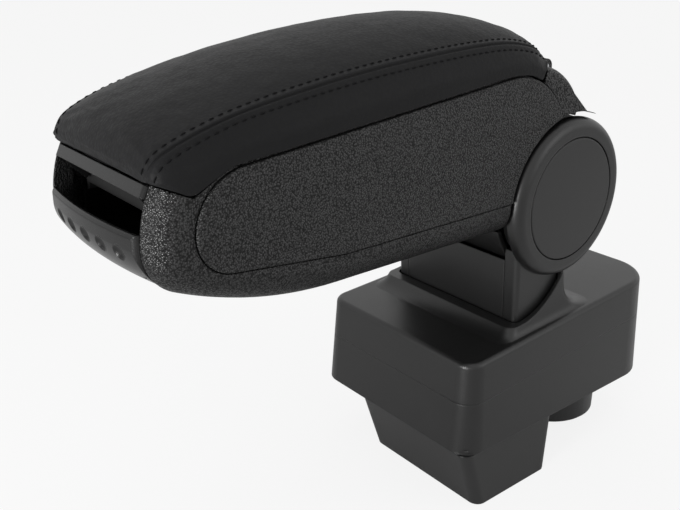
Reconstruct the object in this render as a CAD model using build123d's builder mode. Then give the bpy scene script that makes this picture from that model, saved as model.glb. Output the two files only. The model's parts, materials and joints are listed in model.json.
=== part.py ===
"""Car centre armrest: a padded storage arm that swings on a hinge post, on a base that plugs
into the wells of a car's console.

Millimetres. X runs across the car, -Y towards its front, +Z up. The origin lies on the flat foot
of the base plug, in the middle plane of the arm.
"""

import os
from math import atan2, cos, degrees, radians, sin, sqrt, tan

from build123d import *

os.makedirs("parts", exist_ok=True)

# Fits
RUN = 0.05            # radial clearance of a pin in its bore
FIT = 0.3             # gap between pieces that sit side by side
SWING = 0.5           # gap between bodies that turn past each other

# Hinge of the arm
HINGE_Y = 40.0
HINGE_Z = 169.0
SLEEVE_RADIUS = 44.5
SLEEVE_HALF = 38.3
SLEEVE_WALL = 3.0
PIVOT_RADIUS = 5.0
PIVOT_HEAD_RADIUS = 9.0
PIVOT_HEAD = 6.0
SPACER_RADIUS = 7.0
EAR_THICKNESS = 3.0
EAR_RADIUS = 18.0
WASHER_THICKNESS = 2.0
WASHER_RADIUS = 14.0

# Hinge discs and caps
DISC_RADIUS = 45.3
DISC_FACE_X = 54.2
DISC_ROUND = 6.0
DISC_ROUND_BACK = 20.0
DISC_WAIST = 40.0
DISC_CAVITY = 29.0
CAP_RADIUS = 34.5
CAP_THICKNESS = 2.5
CAP_GROOVE = 0.6
DISC_WEB = 2.2

# Base: deck of the cover, drafted walls, ledge and plugs
DECK_Y = 47.7
DECK_Z = 97.5
DECK_TILT = 3.5
DECK_WIDTH = 117.8
DECK_LENGTH = 173.3
DECK_CORNER = 10.0
DECK_REAR_CORNER = 27.0
DECK_EDGE = 3.0
BASE_DRAFT = 3.4
BASE_WALL = 2.8
PARTING_DEPTH = 23.8
LEDGE_Z = 38.0
PLUG_WIDTH = 88.4
PLUG_LENGTH = 77.0
PLUG_CORNER = 6.0
FOOT_WIDTH = 87.2
FOOT_LENGTH = 62.5
FOOT_SETBACK = 13.6
FLUSH_STEP = 0.4
CUP_X = 22.0
CUP_Y = 79.0
CUP_RADIUS = 31.0
CUP_DEPTH = 25.0
CUP_EDGE = 1.5

# Post and the collar of the cover round it
POST_HALF = 47.7
POST_FRONT = -39.4    # along the deck, from the deck's middle
POST_REAR = -2.0
POST_SINK = 18.0
POST_WALL = 2.5
POST_CORNER = 3.0
CHEEK_TOP = 48.4
SADDLE_GAP = 2.5
COLLAR_GAP = 1.2
COLLAR_WALL = 2.0
COLLAR_RISE = 27.0
COLLAR_SINK = 0.4
COLLAR_REAR_DROP = 1.0
COLLAR_FRONT_RISE = 5.5
COLLAR_FLARE_SIDE = 4.4
COLLAR_FLARE_FRONT = 17.0
COLLAR_FLARE_REAR = 26.0

# Steel bracket of the post
STEEL = 3.0
FOOT_PLATE_WIDTH = 106.0
FOOT_PLATE_FRONT = 8.0
FOOT_PLATE_REAR = 126.0
UPRIGHT_FRONT = 16.0
UPRIGHT_REAR = 39.0
UPRIGHT_NECK_FRONT_Z = 124.0
UPRIGHT_NECK_REAR_Z = 138.0
UPRIGHT_TOP_RADIUS = 16.0
BOSS_RADIUS = 7.0
BOSS_HEIGHT = 3.0
FOOT_SCREW_X = 46.0
FOOT_SCREW_FRONT = 42.0
FOOT_SCREW_REAR = 118.0
SCREW_RADIUS = 2.0
SCREW_HEAD_RADIUS = 4.0
SCREW_HEAD = 2.6

# Tub of the arm, in distances forward of the hinge axis and above it
ARM_WIDTH = 102.0
TUB_WALL = 3.0
TUB_EDGE = 14.0
FLOOR_DROP = 11.5
BELLY_START = 160.0
NOSE_REACH = 254.0
BELLY_BACK = 13.5
BELLY_END = NOSE_REACH - BELLY_BACK
BELLY_END_UP = 6.0
NOSE_UP = 27.0
BROW_BACK = 6.0
BROW_REACH = NOSE_REACH - BROW_BACK
BROW_UP = 52.6
DIP_BACK = 19.0
DIP_REACH = NOSE_REACH - DIP_BACK
DIP_UP = 47.0
RIM_BACK = 35.0
RIM_FRONT = NOSE_REACH - RIM_BACK
RIM_FRONT_UP = 56.0
RIM_REAR = 56.0
RIM_REAR_UP = 72.6
SHOULDER_REACH = 31.0
SHOULDER_UP = 67.7
SEAT_REACH = 20.0
HOOD_RADIUS = 48.5
HOOD_TOP_ANGLE = 79.0
HOOD_TIP_ANGLE = 69.0
SIDE_CUT_RADIUS = 48.3
HORN_FRONT = 29.0
HORN_TOP_REACH = 27.3
HORN_TOP_UP = 75.2
HORN_BACK_REACH = 9.5
HORN_BACK_UP = 67.3
HORN_TIP_REACH = -4.6
HORN_TIP_UP = 48.6
HORN_GAP = 1.0
HORN_EDGE = 4.0
REAR_WALL_RADIUS = 52.0
MOUTH_HALF = 40.5

# Side panels
PANEL_DEPTH = 1.5
PANEL_PROUD = 1.0
PANEL_GROOVE = 0.6
PANEL_TOP_BACK = 42.0
PANEL_TOP_REACH = NOSE_REACH - PANEL_TOP_BACK
PANEL_BROW_BACK = 19.0
PANEL_BROW_REACH = NOSE_REACH - PANEL_BROW_BACK
PANEL_BROW_UP = 32.0
PANEL_CHIN_BACK = 35.3
PANEL_CHIN_REACH = NOSE_REACH - PANEL_CHIN_BACK
PANEL_CHIN_UP = 12.7
PANEL_KEEL_REACH = 160.0
PANEL_KEEL_UP = 6.5
PANEL_REAR_REACH = 12.0
PANEL_EDGE = 0.8

# Steel bracket of the arm
ARM_PLATE_FRONT = 118.0
ARM_PLATE_REAR = 32.0
ARM_SCREW_FRONT = 106.0
ARM_SCREW_REAR = 66.0
ARM_SCREW_X = 26.0
EAR_FRONT = 43.0

# Storage bin under the lid
BIN_FRONT = 141.0
BIN_REAR = 54.0
BIN_WALL = 2.0

# Drawer and its housing
HOUSING_HALF = 39.0
HOUSING_BACK = 16.0
HOUSING_FRONT = NOSE_REACH - HOUSING_BACK
HOUSING_REAR = 142.0
HOUSING_WALL = 2.0
HOUSING_FLOOR_UP = 11.0
HOUSING_ROOF_UP = 41.0
DRAWER_GAP = 0.5
DRAWER_WALL = 1.8
DRAWER_SIDE_UP = 30.0
DRAWER_STOP = 3.0
PULL_PROUD = 4.4
PULL_REACH = NOSE_REACH + PULL_PROUD
PULL_BOW = 3.4
PULL_HALF = 39.5
PULL_WALL = 3.0
PULL_LIP_UP = 31.0
PULL_LIP_RADIUS = 1.9
PULL_WAIST_UP = 26.0
PULL_CHIN_BACK = 4.9
PULL_CHIN_UP = 14.5
PULL_HEEL_BACK = 17.1
PULL_HEEL_REACH = PULL_REACH - PULL_HEEL_BACK
PULL_HEEL_UP = 6.6
PULL_CORNER = 5.0
DIMPLE_COUNT = 5
DIMPLE_PITCH = 13.8
DIMPLE_RADIUS = 4.0
DIMPLE_DEPTH = 1.6
DIMPLE_UP = 22.3

# Lid
LID_AXIS_REACH = 10.0
LID_AXIS_UP = 71.0
LID_KNUCKLE_RADIUS = 4.5
LID_KNUCKLE_ROOM = 2.5
SEAT_UP = LID_AXIS_UP - LID_KNUCKLE_RADIUS - LID_KNUCKLE_ROOM
LID_KNUCKLE_HALF = 26.0
LID_LUG_END = 36.0
LID_PIN_RADIUS = 2.0
LID_PLATE = 3.0
LID_PLATE_AHEAD = 2.2
LID_PLATE_FRONT = HOUSING_FRONT + LID_PLATE_AHEAD
LID_PLATE_REAR = 33.5
PAD_HALF = 53.0
PAD_BACK = 4.6
PAD_FRONT = NOSE_REACH - PAD_BACK
PAD_REAR = 12.0
PAD_CORNER = 16.0
PAD_REAR_CORNER = 25.0
PAD_GAP = 0.4
PAD_BULGE = 0.87
SKIRT_GAP = 0.4
SKIRT_INSET = 1.0
SKIRT_REAR = 30.0
# Sections of the pad: share of its length from front to rear, half width at the foot and at the
# seam, height of the seam and of the crown above the lid's parting
PAD_SECTIONS = [
    (0.0, 44.0, 42.0, 4.2, 5.6),
    (0.02, 49.0, 44.0, 9.8, 15.9),
    (0.055, 51.8, 45.2, 13.0, 19.9),
    (0.115, PAD_HALF, 45.9, 16.2, 23.8),
    (0.2, PAD_HALF, 46.4, 18.7, 27.6),
    (0.31, PAD_HALF, 46.6, 20.2, 30.5),
    (0.43, PAD_HALF, 46.8, 20.8, 31.8),
    (0.55, PAD_HALF, 46.8, 20.4, 31.7),
    (0.67, PAD_HALF, 46.7, 19.3, 30.3),
    (0.78, PAD_HALF, 46.5, 17.0, 27.4),
    (0.87, 52.6, 45.8, 12.8, 23.0),
    (0.935, 50.3, 44.0, 7.2, 17.4),
    (0.975, 46.5, 41.5, 3.8, 11.0),
    (1.0, 42.0, 39.0, 2.0, 4.6),
]

# Latch bar under the front of the pad
LATCH_AHEAD = 3.2
LATCH_REACH = LID_PLATE_FRONT + LATCH_AHEAD
LATCH_UP = 50.3
LATCH_PIN_RADIUS = 1.25
LATCH_BARREL_RADIUS = 2.6
LATCH_BARREL_HALF = 28.0
LATCH_LUG = 3.2
BAR_HALF = 40.0
BAR_AHEAD = 5.6
BAR_TOP_REACH = LATCH_REACH + BAR_AHEAD
BAR_TOP_UP = 52.2
BAR_RAKE = 2.3
BAR_FOOT_REACH = BAR_TOP_REACH + BAR_RAKE
BAR_FOOT_UP = 47.4
BAR_THICKNESS = 2.4
BAR_BEVEL = 2.0
HOOK_INNER = 33.5
HOOK_WIDTH = 3.5
HOOK_FOOT_UP = 36.0
HOOK_CATCH = 3.0


def at(reach, up):
    """Point of a side profile, forward of the hinge axis and above it."""
    return (HINGE_Y - reach, HINGE_Z + up)


hinge_axis = Axis((0, HINGE_Y, HINGE_Z), (1, 0, 0))
hinge_section = Plane(origin=(0, HINGE_Y, HINGE_Z), x_dir=(1, 0, 0), z_dir=(0, -1, 0))
tilt_sin = sin(radians(DECK_TILT))
tilt_cos = cos(radians(DECK_TILT))
deck = Plane(origin=(0, DECK_Y, DECK_Z), x_dir=(1, 0, 0), z_dir=(0, -tilt_sin, tilt_cos))

# Stack on the pivot bolt, from the middle outwards
ear_inner = SLEEVE_HALF - FIT - EAR_THICKNESS - FIT
ear_outer = ear_inner + EAR_THICKNESS
washer_inner = ear_outer + FIT
upright_inner = washer_inner + WASHER_THICKNESS
upright_outer = upright_inner + STEEL
disc_inner = SLEEVE_HALF + SWING
bolt_end = upright_outer + PIVOT_HEAD

# Base: one drafted block, cut into the plug moulding and the cover at the parting plane
block_height = DECK_Z - LEDGE_Z
block_grow = block_height * tan(radians(BASE_DRAFT))


def base_block(inset):
    """Drafted block of the base from the ledge to the deck, with its walls moved in by inset."""
    spread = block_grow - inset
    with BuildPart() as block:
        with BuildSketch(Plane.XY.offset(LEDGE_Z)) as plan:
            with Locations((0, DECK_Y)):
                Rectangle(DECK_WIDTH + 2 * spread, DECK_LENGTH + 2 * spread)
            fillet(plan.vertices().group_by(Axis.Y)[0], DECK_CORNER + spread)
            fillet(plan.vertices().group_by(Axis.Y)[-1], DECK_REAR_CORNER + spread)
        extrude(amount=block_height + DECK_LENGTH * tilt_sin, taper=BASE_DRAFT)
        split(bisect_by=deck, keep=Keep.BOTTOM)
    return block.part


base_outer = base_block(0)
base_inner = base_block(BASE_WALL)
parting = deck.offset(-PARTING_DEPTH)
floor_top = LEDGE_Z + BASE_WALL

# Where the drafted walls cross the ledge
ledge_side = DECK_WIDTH / 2 + block_grow
ledge_front = DECK_Y - DECK_LENGTH / 2 - block_grow
plug_right = ledge_side - FLUSH_STEP
plug_front = ledge_front + FLUSH_STEP
plug_x = plug_right - PLUG_WIDTH / 2
plug_y = plug_front + PLUG_LENGTH / 2
foot_x = plug_right - (PLUG_WIDTH - FOOT_WIDTH) / 2 - FOOT_WIDTH / 2
foot_y = plug_front + FOOT_SETBACK + FOOT_LENGTH / 2
foot_screws_at = [
    (side * FOOT_SCREW_X, y) for side in (-1, 1) for y in (FOOT_SCREW_FRONT, FOOT_SCREW_REAR)
]
boss_top = floor_top + BOSS_HEIGHT

with BuildPart() as plug_hollow:
    add(base_inner)
    split(bisect_by=Plane.XY.offset(floor_top), keep=Keep.TOP)

with BuildPart() as base_plug:
    add(base_outer)
    split(bisect_by=parting, keep=Keep.BOTTOM)
    with BuildSketch(Plane.XY.offset(LEDGE_Z)):
        with Locations((plug_x, plug_y)):
            RectangleRounded(PLUG_WIDTH, PLUG_LENGTH, PLUG_CORNER)
    with BuildSketch(Plane.XY):
        with Locations((foot_x, foot_y)):
            RectangleRounded(FOOT_WIDTH, FOOT_LENGTH, PLUG_CORNER)
    loft()
    with BuildSketch(Plane.XY.offset(LEDGE_Z)):
        with Locations((CUP_X, CUP_Y)):
            Circle(CUP_RADIUS)
    extrude(amount=-CUP_DEPTH)
    cup_foot = [
        edge
        for edge in base_plug.edges().filter_by(GeomType.CIRCLE)
        if abs(edge.center().Z - LEDGE_Z + CUP_DEPTH) < 0.01
    ]
    chamfer(cup_foot, CUP_EDGE)
    add(plug_hollow.part, mode=Mode.SUBTRACT)
    with BuildSketch(Plane.XY.offset(floor_top)):
        with Locations((plug_x, plug_y)):
            RectangleRounded(
                PLUG_WIDTH - 2 * BASE_WALL, PLUG_LENGTH - 2 * BASE_WALL, PLUG_CORNER - BASE_WALL
            )
    with BuildSketch(Plane.XY.offset(BASE_WALL)):
        with Locations((foot_x, foot_y)):
            RectangleRounded(
                FOOT_WIDTH - 2 * BASE_WALL, FOOT_LENGTH - 2 * BASE_WALL, PLUG_CORNER - BASE_WALL
            )
    loft(mode=Mode.SUBTRACT)
    with BuildSketch(Plane.XY.offset(floor_top)):
        with Locations((CUP_X, CUP_Y)):
            Circle(CUP_RADIUS - BASE_WALL)
    extrude(amount=-CUP_DEPTH, mode=Mode.SUBTRACT)
    with BuildSketch(Plane.XY.offset(floor_top)):
        with Locations(*foot_screws_at):
            Circle(BOSS_RADIUS)
    extrude(amount=BOSS_HEIGHT)
    with BuildSketch(Plane.XY.offset(LEDGE_Z)):
        with Locations(*foot_screws_at):
            Circle(SCREW_HEAD_RADIUS + FIT)
    extrude(amount=SCREW_HEAD + FIT, mode=Mode.SUBTRACT)
    with BuildSketch(Plane.XY.offset(LEDGE_Z)):
        with Locations(*foot_screws_at):
            Circle(SCREW_RADIUS + RUN)
    extrude(amount=boss_top - LEDGE_Z, mode=Mode.SUBTRACT)
base_plug.part.label = "base_plug"
export_step(base_plug.part, "parts/base_plug.step")

# Cover: deck, skirt and the collar that flares up round the post
post_length = POST_REAR - POST_FRONT
post_middle = (POST_FRONT + POST_REAR) / 2

with BuildPart() as cover_hollow:
    add(base_inner)
    split(bisect_by=deck.offset(-BASE_WALL), keep=Keep.BOTTOM)

# Share of the flare that is left at a share of the collar's rise: a concave sweep
COLLAR_STEPS = [(0.0, 1.0), (0.05, 0.66), (0.13, 0.42), (0.3, 0.2), (0.6, 0.06), (1.0, 0.0)]
collar_half = POST_HALF + COLLAR_GAP + COLLAR_WALL
collar_front = POST_FRONT - COLLAR_GAP - COLLAR_WALL
collar_rear = POST_REAR + COLLAR_GAP + COLLAR_WALL

with BuildPart() as collar:
    for rise_share, flare_share in COLLAR_STEPS:
        section_front = collar_front - COLLAR_FLARE_FRONT * flare_share
        section_rear = collar_rear + COLLAR_FLARE_REAR * flare_share
        with BuildSketch(deck.offset(COLLAR_RISE * rise_share - COLLAR_SINK)):
            with Locations((0, (section_front + section_rear) / 2)):
                RectangleRounded(
                    2 * (collar_half + COLLAR_FLARE_SIDE * flare_share),
                    section_rear - section_front,
                    POST_CORNER + COLLAR_WALL + COLLAR_FLARE_SIDE * flare_share,
                )
    loft()
    # The rim is low at the front and sweeps up to the rear
    side_of_deck = Plane(origin=deck.origin, x_dir=deck.y_dir, z_dir=(1, 0, 0))
    with BuildSketch(side_of_deck):
        with BuildLine():
            level = Line(
                (collar_front - COLLAR_FLARE_FRONT, COLLAR_FRONT_RISE), (POST_FRONT, COLLAR_FRONT_RISE)
            )
            sweep_up = TangentArc(level @ 1, (POST_REAR, COLLAR_RISE - COLLAR_REAR_DROP), tangent=level % 1)
            Polyline(
                sweep_up @ 1,
                (POST_REAR, 2 * COLLAR_RISE),
                (collar_front - COLLAR_FLARE_FRONT, 2 * COLLAR_RISE),
                level @ 0,
            )
        make_face()
    extrude(amount=DECK_WIDTH, both=True, mode=Mode.SUBTRACT)

with BuildPart() as base_cover:
    add(base_outer)
    split(bisect_by=parting, keep=Keep.TOP)
    fillet(base_cover.faces().sort_by(Axis.Z)[-1].edges(), DECK_EDGE)
    add(cover_hollow.part, mode=Mode.SUBTRACT)
    add(collar.part)
    with BuildSketch(deck.offset(-PARTING_DEPTH)):
        with Locations((0, post_middle)):
            RectangleRounded(
                2 * (POST_HALF + COLLAR_GAP), post_length + 2 * COLLAR_GAP, POST_CORNER + COLLAR_GAP
            )
    extrude(amount=PARTING_DEPTH + 2 * COLLAR_RISE, mode=Mode.SUBTRACT)
base_cover.part.label = "base_cover"
export_step(base_cover.part, "parts/base_cover.step")

# Steel bracket inside the post: foot plate on the bosses, two uprights up to the pivot
plate_top = boss_top + STEEL
with BuildPart() as post_bracket:
    with BuildSketch(Plane.XY.offset(boss_top)):
        with Locations((0, (FOOT_PLATE_FRONT + FOOT_PLATE_REAR) / 2)):
            RectangleRounded(FOOT_PLATE_WIDTH, FOOT_PLATE_REAR - FOOT_PLATE_FRONT, BOSS_RADIUS)
        with Locations(*foot_screws_at):
            Circle(SCREW_RADIUS + RUN, mode=Mode.SUBTRACT)
    extrude(amount=STEEL)
    with BuildSketch(Plane.YZ.offset(upright_inner)):
        with BuildLine():
            dome = CenterArc((HINGE_Y, HINGE_Z), UPRIGHT_TOP_RADIUS, 0, 180)
            Polyline(
                dome @ 1,
                (UPRIGHT_FRONT, UPRIGHT_NECK_FRONT_Z),
                (UPRIGHT_FRONT, boss_top),
                (UPRIGHT_REAR, boss_top),
                (UPRIGHT_REAR, UPRIGHT_NECK_REAR_Z),
                dome @ 0,
            )
        make_face()
        with Locations((HINGE_Y, HINGE_Z)):
            Circle(PIVOT_RADIUS + RUN, mode=Mode.SUBTRACT)
    extrude(amount=STEEL)
    mirror(about=Plane.YZ)
post_bracket.part.label = "post_bracket"
export_step(post_bracket.part, "parts/post_bracket.step")

with BuildPart() as foot_screws:
    with BuildSketch(Plane.XY.offset(LEDGE_Z + FIT)):
        with Locations(*foot_screws_at):
            Circle(SCREW_HEAD_RADIUS)
    extrude(amount=SCREW_HEAD)
    with BuildSketch(Plane.XY.offset(LEDGE_Z + FIT)):
        with Locations(*foot_screws_at):
            Circle(SCREW_RADIUS)
    extrude(amount=plate_top - LEDGE_Z - FIT)
foot_screws.part.label = "foot_screws"
export_step(foot_screws.part, "parts/foot_screws.step")

# Post: a centre shell with a saddle under the sleeve, between two cheeks that carry the discs
saddle_radius = SLEEVE_RADIUS + SADDLE_GAP
shell_half = disc_inner - FIT

with BuildPart() as post_center_shell:
    with BuildSketch(deck.offset(-POST_SINK)):
        with Locations((0, post_middle)):
            Rectangle(2 * shell_half, post_length)
    extrude(amount=POST_SINK + CHEEK_TOP)
    with BuildSketch(Plane.YZ):
        with Locations((HINGE_Y, HINGE_Z)):
            Circle(saddle_radius)
    extrude(amount=DECK_WIDTH, both=True, mode=Mode.SUBTRACT)
    with BuildSketch(deck.offset(-POST_SINK)):
        with Locations((0, post_middle)):
            Rectangle(2 * (shell_half - POST_WALL), post_length - 2 * POST_WALL)
    extrude(amount=POST_SINK + CHEEK_TOP, mode=Mode.SUBTRACT)
    # Saddle roof under the sleeve
    with BuildSketch(Plane.YZ):
        with BuildLine():
            Polyline(
                (UPRIGHT_FRONT, HINGE_Z - saddle_radius),
                (UPRIGHT_REAR, HINGE_Z - saddle_radius),
            )
            Line((UPRIGHT_REAR, HINGE_Z - saddle_radius), (UPRIGHT_REAR, HINGE_Z))
            Line((UPRIGHT_REAR, HINGE_Z), (UPRIGHT_FRONT, HINGE_Z))
            Line((UPRIGHT_FRONT, HINGE_Z), (UPRIGHT_FRONT, HINGE_Z - saddle_radius))
        make_face()
        with Locations((HINGE_Y, HINGE_Z)):
            Circle(saddle_radius, mode=Mode.SUBTRACT)
    extrude(amount=shell_half, both=True)
post_center_shell.part.label = "post_center_shell"
export_step(post_center_shell.part, "parts/post_center_shell.step")

# Right cheek: post side, waist, flared disc and the seat of its cap
cap_seat = DISC_FACE_X - CAP_THICKNESS
cap_bore = CAP_RADIUS + CAP_GROOVE
with BuildPart() as hinge_cheek_right:
    with BuildSketch(deck.offset(-POST_SINK)):
        with Locations(((disc_inner + POST_HALF) / 2, post_middle)):
            Rectangle(POST_HALF - disc_inner, post_length)
    extrude(amount=POST_SINK + CHEEK_TOP)
    fillet(
        hinge_cheek_right.edges().filter_by(Axis(deck.origin, deck.z_dir)).group_by(Axis.X)[-1],
        POST_CORNER,
    )
    with BuildSketch(hinge_section):
        with BuildLine():
            throat = Line((disc_inner, DISC_CAVITY), (disc_inner, DISC_WAIST))
            rim = CenterArc(
                (DISC_FACE_X - DISC_ROUND, DISC_RADIUS - DISC_ROUND),
                DISC_ROUND,
                90 + DISC_ROUND_BACK,
                -90 - DISC_ROUND_BACK,
            )
            TangentArc(throat @ 1, rim @ 0, tangent=(1, 0))
            Polyline(
                rim @ 1,
                (DISC_FACE_X, cap_bore),
                (cap_seat, cap_bore),
                (cap_seat, 0),
                (cap_seat - DISC_WEB, 0),
                (cap_seat - DISC_WEB, DISC_CAVITY),
                throat @ 0,
            )
        make_face()
    revolve(axis=hinge_axis)
    # Room for the upright and the bolt's end
    with BuildSketch(Plane.YZ.offset(disc_inner)):
        with Locations((HINGE_Y, HINGE_Z)):
            Circle(DISC_CAVITY)
    extrude(amount=cap_seat - DISC_WEB - disc_inner, mode=Mode.SUBTRACT)
    with BuildSketch(deck.offset(-POST_SINK)):
        with Locations(((disc_inner + upright_outer + FIT) / 2, post_middle)):
            Rectangle(upright_outer + FIT - disc_inner, post_length - 2 * POST_WALL)
    extrude(amount=POST_SINK + HINGE_Z - DECK_Z, mode=Mode.SUBTRACT)
hinge_cheek_right.part.label = "hinge_cheek_right"
export_step(hinge_cheek_right.part, "parts/hinge_cheek_right.step")

with BuildPart() as hinge_cheek_left:
    mirror(hinge_cheek_right.part, about=Plane.YZ)
hinge_cheek_left.part.label = "hinge_cheek_left"
export_step(hinge_cheek_left.part, "parts/hinge_cheek_left.step")

with BuildPart() as hinge_cap_right:
    with BuildSketch(Plane.YZ.offset(cap_seat)):
        with Locations((HINGE_Y, HINGE_Z)):
            Circle(CAP_RADIUS)
    extrude(amount=CAP_THICKNESS)
    fillet(hinge_cap_right.edges().group_by(Axis.X)[-1], CAP_GROOVE)
hinge_cap_right.part.label = "hinge_cap_right"
export_step(hinge_cap_right.part, "parts/hinge_cap_right.step")

with BuildPart() as hinge_cap_left:
    mirror(hinge_cap_right.part, about=Plane.YZ)
hinge_cap_left.part.label = "hinge_cap_left"
export_step(hinge_cap_left.part, "parts/hinge_cap_left.step")

# Pivot bolt, nut, friction washers and the spacer between the ears
with BuildPart() as pivot_bolt:
    with BuildSketch(Plane.YZ.offset(-bolt_end)):
        with Locations((HINGE_Y, HINGE_Z)):
            RegularPolygon(PIVOT_HEAD_RADIUS, 6)
    extrude(amount=PIVOT_HEAD)
    with BuildSketch(Plane.YZ.offset(-upright_outer)):
        with Locations((HINGE_Y, HINGE_Z)):
            Circle(PIVOT_RADIUS)
    extrude(amount=upright_outer + bolt_end)
pivot_bolt.part.label = "pivot_bolt"
export_step(pivot_bolt.part, "parts/pivot_bolt.step")

with BuildPart() as pivot_nut:
    with BuildSketch(Plane.YZ.offset(upright_outer)):
        with Locations((HINGE_Y, HINGE_Z)):
            RegularPolygon(PIVOT_HEAD_RADIUS, 6)
            Circle(PIVOT_RADIUS + RUN, mode=Mode.SUBTRACT)
    extrude(amount=PIVOT_HEAD)
pivot_nut.part.label = "pivot_nut"
export_step(pivot_nut.part, "parts/pivot_nut.step")

with BuildPart() as friction_washers:
    with BuildSketch(Plane.YZ.offset(washer_inner)):
        with Locations((HINGE_Y, HINGE_Z)):
            Circle(WASHER_RADIUS)
            Circle(PIVOT_RADIUS + RUN, mode=Mode.SUBTRACT)
    extrude(amount=WASHER_THICKNESS)
    mirror(about=Plane.YZ)
friction_washers.part.label = "friction_washers"
export_step(friction_washers.part, "parts/friction_washers.step")

with BuildPart() as pivot_spacer:
    with BuildSketch(Plane.YZ):
        with Locations((HINGE_Y, HINGE_Z)):
            Circle(SPACER_RADIUS)
            Circle(PIVOT_RADIUS + RUN, mode=Mode.SUBTRACT)
    extrude(amount=ear_inner, both=True)
pivot_spacer.part.label = "pivot_spacer"
export_step(pivot_spacer.part, "parts/pivot_spacer.step")

# Arm tub: side profile, rounded along belly and nose, hollow, open at the mouth and the hinge
floor_up = TUB_WALL - FLOOR_DROP
hood_gap_radius = SLEEVE_RADIUS + SWING
panel_seat = ARM_WIDTH / 2 - PANEL_DEPTH
rim_slope = (RIM_REAR_UP - RIM_FRONT_UP) / (RIM_FRONT - RIM_REAR)
rim_way = (1, rim_slope)
arm_screws_at = [
    (side * ARM_SCREW_X, HINGE_Y - reach)
    for side in (-1, 1)
    for reach in (ARM_SCREW_FRONT, ARM_SCREW_REAR)
]


def panel_outline(x, grow):
    """Face of the oval side panel on the side plane at x, grown all round."""
    rear_bottom = sqrt(SIDE_CUT_RADIUS**2 - PANEL_KEEL_UP**2)
    rear_top = sqrt(SIDE_CUT_RADIUS**2 - PANEL_REAR_REACH**2)
    start_angle = degrees(atan2(PANEL_KEEL_UP, -rear_bottom))
    end_angle = degrees(atan2(rear_top, -PANEL_REAR_REACH))
    top_front_up = RIM_REAR_UP - rim_slope * (PANEL_TOP_REACH - RIM_REAR) - PANEL_GROOVE
    with BuildSketch(Plane.YZ.offset(x)) as outline:
        with BuildLine():
            top = Line(at(RIM_REAR, RIM_REAR_UP - PANEL_GROOVE), at(PANEL_TOP_REACH, top_front_up))
            brow = TangentArc(top @ 1, at(PANEL_BROW_REACH, PANEL_BROW_UP), tangent=top % 1)
            chin = TangentArc(brow @ 1, at(PANEL_CHIN_REACH, PANEL_CHIN_UP), tangent=brow % 1)
            Polyline(chin @ 1, at(PANEL_KEEL_REACH, PANEL_KEEL_UP), at(rear_bottom, PANEL_KEEL_UP))
            rear = CenterArc(
                (HINGE_Y, HINGE_Z), SIDE_CUT_RADIUS, start_angle, end_angle - start_angle
            )
            TangentArc(top @ 0, rear @ 1, tangent=(top @ 0) - (top @ 1))
        make_face()
        if grow > 0:
            offset(amount=grow)
    return outline.sketch


panel_face = panel_outline(panel_seat, 0)
recess_faces = [panel_outline(side * panel_seat, PANEL_GROOVE) for side in (-1, 1)]

with BuildPart() as tub_hollow:
    rear_low = sqrt(REAR_WALL_RADIUS**2 - floor_up**2)
    rear_high = sqrt(REAR_WALL_RADIUS**2 - SEAT_REACH**2)
    low_angle = 360 + degrees(atan2(floor_up, -rear_low))
    high_angle = degrees(atan2(rear_high, -SEAT_REACH))
    with BuildSketch(Plane.YZ):
        with BuildLine():
            bed = Line(at(rear_low, floor_up), at(BELLY_START, floor_up))
            rise = TangentArc(
                bed @ 1, at(BELLY_END - TUB_WALL, BELLY_END_UP + TUB_WALL), tangent=bed % 1
            )
            back = CenterArc(
                (HINGE_Y, HINGE_Z), REAR_WALL_RADIUS, high_angle, low_angle - high_angle
            )
            Polyline(
                rise @ 1,
                at(BELLY_END + TUB_WALL, NOSE_UP),
                at(BELLY_END + TUB_WALL, 2 * RIM_REAR_UP),
                at(SEAT_REACH, 2 * RIM_REAR_UP),
                back @ 0,
            )
        make_face()
    extrude(amount=ARM_WIDTH / 2 - TUB_WALL, both=True)
    bed_edges = [
        edge
        for edge in tub_hollow.edges()
        if abs(abs(edge.center().X) - (ARM_WIDTH / 2 - TUB_WALL)) < 0.01
        and edge.center().Z < HINGE_Z + BELLY_END_UP
        and edge.center().Y < HINGE_Y - REAR_WALL_RADIUS
    ]
    fillet(bed_edges, TUB_EDGE - TUB_WALL)

def horn(side):
    """Curved block beside the lid's hinge, with its outer top edge rounded."""
    inner = LID_LUG_END + HORN_GAP
    with BuildPart() as block:
        with BuildSketch(Plane.YZ.offset(side * inner)):
            with BuildLine():
                back = ThreePointArc(
                    at(HORN_TOP_REACH, HORN_TOP_UP),
                    at(HORN_BACK_REACH, HORN_BACK_UP),
                    at(HORN_TIP_REACH, HORN_TIP_UP),
                )
                Polyline(
                    back @ 1,
                    at(HORN_FRONT, SLEEVE_RADIUS),
                    at(HORN_FRONT, SHOULDER_UP),
                    back @ 0,
                )
            make_face()
        extrude(amount=side * (ARM_WIDTH / 2 - inner))
        outer_edges = block.edges().filter_by(GeomType.CIRCLE).sort_by(Axis.X)
        fillet(outer_edges[-1 if side > 0 else 0], HORN_EDGE)
    return block.part


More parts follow.
